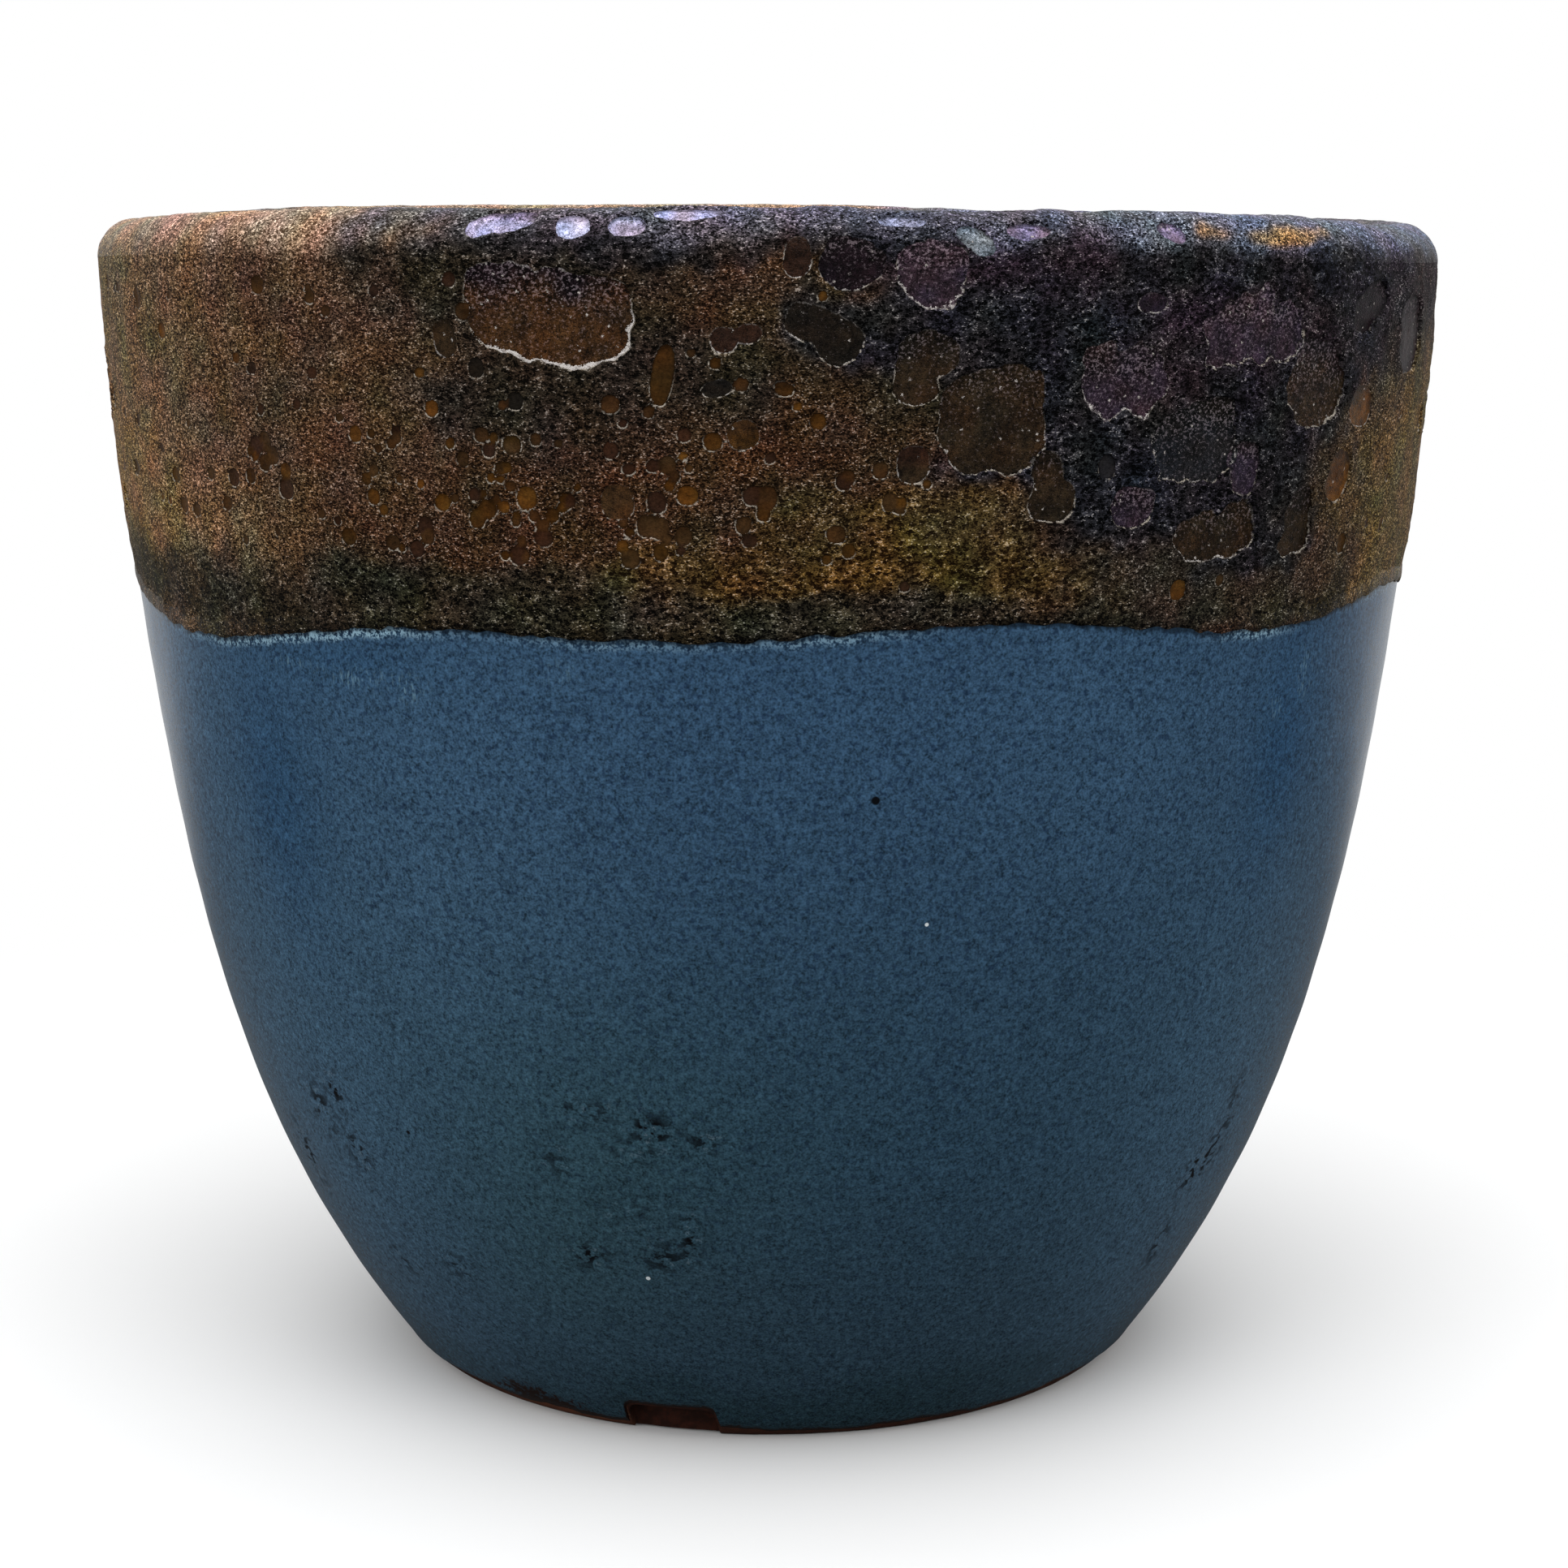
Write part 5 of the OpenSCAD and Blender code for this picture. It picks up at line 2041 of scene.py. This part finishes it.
@dataclass
class ClayBody:
    """The clay under the glazes: the wall, the floor and the notched foot ring."""

    lava: LavaField
    columns: int = 360
    inside_rows: int = 130
    outside_rows: int = 40
    lip_rows: int = 8
    ring_pitch: float = 13.0
    floor_columns: int = 256
    floor_rows: int = 60
    floor_pitch: float = 9.0
    floor_swell: float = 2.5
    overlap: float = 0.6
    hole_round: float = 2.4
    hole_rows: int = 6
    hole_chamfer: float = 1.2
    foot_spread: int = 300
    foot_outside: Row = (POT.foot_h, 11.0, 8.0, 5.0, 2.6, 1.3, 0.5)
    foot_under: Row = (0.8, 1.5, 7.0, 12.0, 16.0, 18.8)
    foot_inside: Row = (0.5, 1.6, 5.0, 9.0, 12.0, POT.foot_h)
    foot_carved: Row = (0.85, 0.05, 0.04, 0.04, 0.04, 0.04)
    notch_reach: float = 18.0
    least_soot_and_shade: float = -34.0

    def build(self) -> None:
        """Models and dresses the three pieces."""
        material = ClayFinish().build()
        self.wall(material)
        self.floor(material)
        self.foot(material)

    def wall(self, material: bpy.types.Material) -> None:
        """Models the thrown wall, with finger rings inside and a half-round top.

        Args:
            material: its finish.
        """
        azimuth, face = round_columns(self.columns), self.inside_rows
        inside = np.linspace(POT.shoulder, POT.foot_h, face)
        outside = np.linspace(POT.foot_h, POT.shoulder, self.outside_rows)
        arc = np.linspace(0.0, math.pi, self.lip_rows + 2)[1:-1]
        inside_r, outside_r = POT.clay(inside) - POT.wall, POT.clay(outside) - 0.05
        arc_r = POT.lip_centre_r + POT.clay_lip * np.cos(arc)
        arc_z = POT.shoulder + POT.clay_lip * np.sin(arc)
        radius = repeated(np.concatenate([inside_r, outside_r, arc_r]), self.columns)
        height = repeated(np.concatenate([inside, outside, arc_z]), self.columns)
        rings = np.sin(2 * math.pi * (height[:face] / self.ring_pitch + azimuth / 360.0))
        fade = soft_step(POT.floor_top + 4, POT.floor_top + 30, height[:face])
        spots = places(azimuth, radius[:face], height[:face])
        wave = 0.4 * self.lava.grit(spots, 45.0)
        wave = 0.45 * rings * fade + wave + 0.12 * self.lava.grit(spots, 6.0)
        radius[:face] += wave * soft_step(POT.shoulder, POT.shoulder - 25, height[:face])
        sleeve = Sleeve("clay_body", self.columns, face, len(radius) - face).build()
        sleeve.shape(azimuth, radius, height)
        sleeve.smooth()
        hand_over(sleeve.piece, material, "red_stoneware", "clay_wall")

    def floor(self, material: bpy.types.Material) -> None:
        """Models the floor: a disc with a spiral from the wheel and a rounded hole.

        Args:
            material: its finish.
        """
        azimuth, face = round_columns(self.floor_columns), self.floor_rows
        top, under = POT.floor_top, POT.foot_h
        reach, under_reach = (
            float(POT.clay(np.array(height))) - POT.wall + self.overlap for height in (top, under)
        )
        bend = np.linspace(0.2, 1.57, self.hole_rows)
        edge = POT.hole_r + self.hole_round
        line_r = np.concatenate(
            [np.linspace(reach, edge, face), edge - self.hole_round * np.sin(bend)]
        )
        line_z = np.concatenate(
            [np.full(face, top), top - self.hole_round + self.hole_round * np.cos(bend)]
        )
        under_r = np.array([POT.hole_r, POT.hole_r + self.hole_chamfer, under_reach])
        under_z = np.array([under + self.hole_chamfer, under, under])
        radius = repeated(np.concatenate([line_r, under_r]), len(azimuth))
        height = repeated(np.concatenate([line_z, under_z]), len(azimuth))
        spiral = np.sin(2 * math.pi * (radius[:face] / self.floor_pitch + azimuth / 360.0))
        fade = soft_step(POT.hole_r + 4, POT.hole_r + 16, radius[:face])
        fade = fade * soft_step(reach, reach - 8, radius[:face])
        spots = places(azimuth, radius[:face], height[:face])
        rise = fade * (0.4 * spiral + 0.3 * self.lava.grit(spots, 30.0))
        height[:face] += rise + self.floor_swell * soft_step(reach - 10, reach, radius[:face])
        sleeve = Sleeve("clay_base", len(azimuth), len(line_r), len(under_r)).build()
        sleeve.shape(azimuth, radius, height)
        sleeve.smooth()
        hand_over(sleeve.piece, material, "red_stoneware", "clay_floor")

    def foot(self, material: bpy.types.Material) -> None:
        """Models the foot ring, worn round at its edges and notched to let water out.

        Args:
            material: its finish.
        """
        azimuth = notched_columns(self.foot_spread, POT.foot_r)
        count = len(azimuth)
        face = len(self.foot_outside) + len(self.foot_under)
        carved = np.array(self.foot_carved)[:, None]
        roof = notch_roof(azimuth, POT.foot_r)[None]
        outer_h = np.maximum(np.array(self.foot_outside)[:, None], roof)
        outer_r = POT.clay(outer_h) - 0.04
        outer_r[-1] -= 0.4
        under_r = repeated(float(POT.clay(np.array(0.0))) - np.array(self.foot_under), count)
        inner_h = np.maximum(np.array(self.foot_inside)[:, None], carved[-1] * roof)
        inner_r = POT.clay(inner_h) - POT.foot_ring
        radius = np.vstack([outer_r, under_r, inner_r])
        height = np.vstack([outer_h, carved * roof, inner_h])
        radius += 0.12 * self.lava.grit(places(azimuth, radius, height), 5.0)
        sleeve = Sleeve("notched_foot", count, face, len(self.foot_inside)).build()
        sleeve.shape(self.straightened(azimuth, radius), radius, height)
        # painted shade fills the notches; the rest of the foot is darker all round, least near one
        # azimuth
        less_darkened = soft_step(18, 8, np.abs(turn_between(azimuth, self.least_soot_and_shade)))
        soot_and_shade = np.maximum(soft_step(0.0, 0.6, roof), 0.8 - 0.4 * less_darkened)
        sleeve.paint("soot_and_shade", np.broadcast_to(soot_and_shade, (face, count)))
        sleeve.smooth(40)
        hand_over(sleeve.piece, material, "red_stoneware", "foot_ring")

    def straightened(self, azimuth: np.ndarray, radius: np.ndarray) -> np.ndarray:
        """Turns the points near each notch so that its sides run straight through the ring.

        Args:
            azimuth: each column's azimuth.
            radius: each point's radius, as rows by columns.

        Returns:
            Each point's azimuth.
        """
        turned = np.broadcast_to(azimuth, radius.shape).copy()
        for centre in NOTCH_AZIMUTHS:
            turn = turn_between(azimuth, centre)
            near = np.abs(turn) < self.notch_reach
            offset = POT.foot_r * np.sin(np.radians(turn[near]))
            straight = np.degrees(np.arcsin(np.clip(offset / radius[:, near], -1, 1)))
            keep = soft_step(self.notch_reach, self.notch_reach / 2, np.abs(turn[near]))
            turned[:, near] += keep * (straight - turn[near])
        return turned


@dataclass(frozen=True)
class Lamp:
    """A square soft light: its place and the point it faces, its side and its power.

    Lengths are in metres and the power is in watts.
    """

    name: str
    place: Place
    aim: Place
    size: float
    power: float
    glossy_above: float = 1.5

    def build(self) -> None:
        """Hangs the lamp; only a high one shows as a highlight."""
        data = bpy.data.lights.new(self.name, "AREA")
        data.shape = "SQUARE"
        data.size = self.size
        data.energy = self.power
        lamp = bpy.data.objects.new(self.name, data)
        lamp.location = self.place
        away = np.array(self.place) - np.array(self.aim)
        flat = math.hypot(away[0], away[1])
        lamp.rotation_euler = (math.atan2(flat, away[2]), 0.0, math.atan2(away[0], -away[1]))
        lamp.visible_glossy = self.place[2] > self.glossy_above
        bpy.context.scene.collection.objects.link(lamp)


LAMPS = (
    Lamp("overhead", (0.0, -0.25, 1.9), (0.0, 0.0, 0.2), 2.2, 30.0),
    Lamp("front_left", (-1.7, -1.9, 1.0), (0.0, 0.0, 0.16), 1.4, 19.0),
    Lamp("front_right", (1.8, -1.7, 0.9), (0.0, 0.0, 0.16), 1.4, 14.0),
)


@dataclass
class Studio:
    """A pale floor, soft lights and the camera."""

    distance: float = 1.0
    eye_height: float = 0.3549
    pitch: float = 10.43
    yaw: float = -0.265
    lens: float = 74.48
    sensor: float = 36.0
    white: float = 1.0
    fill: float = 0.75
    room: float = 0.08
    floor_size: float = 12.0
    floor_drop: float = 0.0004
    shadow_reach: tuple[float, float] = (150.0, 620.0)
    gloss_reach: tuple[float, float] = (300.0, 900.0)
    sky_turn: tuple[float, float] = (0.25, 0.9)
    floor_shade: Tone = (120, 120, 120)
    floor_seen: Tone = (246, 246, 246)

    def build(self) -> None:
        """Sets the studio up."""
        scene = bpy.context.scene
        scene.view_settings.view_transform = "Standard"
        self.camera(scene)
        self.floor()
        self.sky(scene)
        for lamp in LAMPS:
            lamp.build()

    def camera(self, scene: bpy.types.Scene) -> None:
        """Places the camera, a little above the rim and tilted down.

        Args:
            scene: the scene.
        """
        data = bpy.data.cameras.new("camera")
        data.lens = self.lens
        data.sensor_width = self.sensor
        camera = bpy.data.objects.new("camera", data)
        camera.location = (0.0, -self.distance, self.eye_height)
        camera.rotation_euler = (math.radians(90 - self.pitch), 0.0, math.radians(self.yaw))
        scene.collection.objects.link(camera)
        scene.camera = camera

    def floor(self) -> None:
        """Lays a wide floor that shows white and keeps the pot's shadow."""
        deselect()
        bpy.ops.mesh.primitive_plane_add(
            size=self.floor_size, location=(0.0, 0.0, -self.floor_drop)
        )
        floor = bpy.context.object
        floor.name = "floor"
        recipe = Recipe("pale_floor")
        point = recipe.place()
        away = recipe.node("ShaderNodeVectorMath", {"operation": "LENGTH"}, {0: point}, "Value")
        back = recipe.node("ShaderNodeSeparateXYZ", {}, {0: point}, "Y")
        seen = recipe.node("ShaderNodeLightPath", output="Is Camera Ray")
        glossy = recipe.node("ShaderNodeLightPath", output="Is Glossy Ray")
        shade = recipe.mix(seen, rgb(self.floor_shade), rgb(self.floor_seen))
        recipe.set(Base_Color=shade, Roughness=0.9, Specular_IOR_Level=0.0)
        bright = {"Color": (1.0, 1.0, 1.0, 1.0), "Strength": 1.0}
        white = recipe.node("ShaderNodeEmission", {}, bright)
        share = (seen * away.step(*self.shadow_reach)).most(glossy * back.step(*self.gloss_reach))
        plain = Wire(recipe, recipe.surface.outputs[0])
        mixed = recipe.node("ShaderNodeMixShader", {}, {0: share, 1: plain, 2: white})
        recipe.tree.links.new(mixed.socket, recipe.output.inputs[0])
        floor.data.materials.append(recipe.material)

    def sky(self, scene: bpy.types.Scene) -> None:
        """Makes a backdrop that is white to the camera and a soft fill elsewhere.

        Gloss sees it white behind the pot and nearly dark on the camera's side.

        Args:
            scene: the scene.
        """
        world = bpy.data.worlds.new("studio")
        world.use_nodes = True
        tree = world.node_tree
        tree.nodes.clear()
        path = tree.nodes.new("ShaderNodeLightPath")
        coords = tree.nodes.new("ShaderNodeTexCoord")
        axes = tree.nodes.new("ShaderNodeSeparateXYZ")
        tree.links.new(coords.outputs["Generated"], axes.inputs[0])
        behind = tree.nodes.new("ShaderNodeMapRange")
        tree.links.new(axes.outputs["Y"], behind.inputs[0])
        for place, value in enumerate((*self.sky_turn, self.room, self.white), 1):
            behind.inputs[place].default_value = value
        level = self.fill
        for ray, strength in (
            ("Is Glossy Ray", behind.outputs[0]), ("Is Camera Ray", self.white),
            ("Is Transmission Ray", self.white),
        ):
            choice = tree.nodes.new("ShaderNodeMix")
            tree.links.new(path.outputs[ray], choice.inputs[0])
            for socket, value in ((choice.inputs[2], level), (choice.inputs[3], strength)):
                if isinstance(value, float):
                    socket.default_value = value
                else:
                    tree.links.new(value, socket)
            level = choice.outputs[0]
        back = tree.nodes.new("ShaderNodeBackground")
        back.inputs[0].default_value = (1.0, 1.0, 1.0, 1.0)
        tree.links.new(level, back.inputs[1])
        output = tree.nodes.new("ShaderNodeOutputWorld")
        tree.links.new(back.outputs[0], output.inputs[0])
        scene.world = world


def main() -> None:
    """Builds the studio and every piece of the pot."""
    logging.basicConfig(level=logging.INFO, format="%(message)s")
    Studio().build()
    lava = LavaField()
    ClayBody(lava).build()
    BlueCoat(lava).build()
    LavaCoat(lava).build()
    PoolSet(lava).build()


if __name__ == "__main__":
    main()
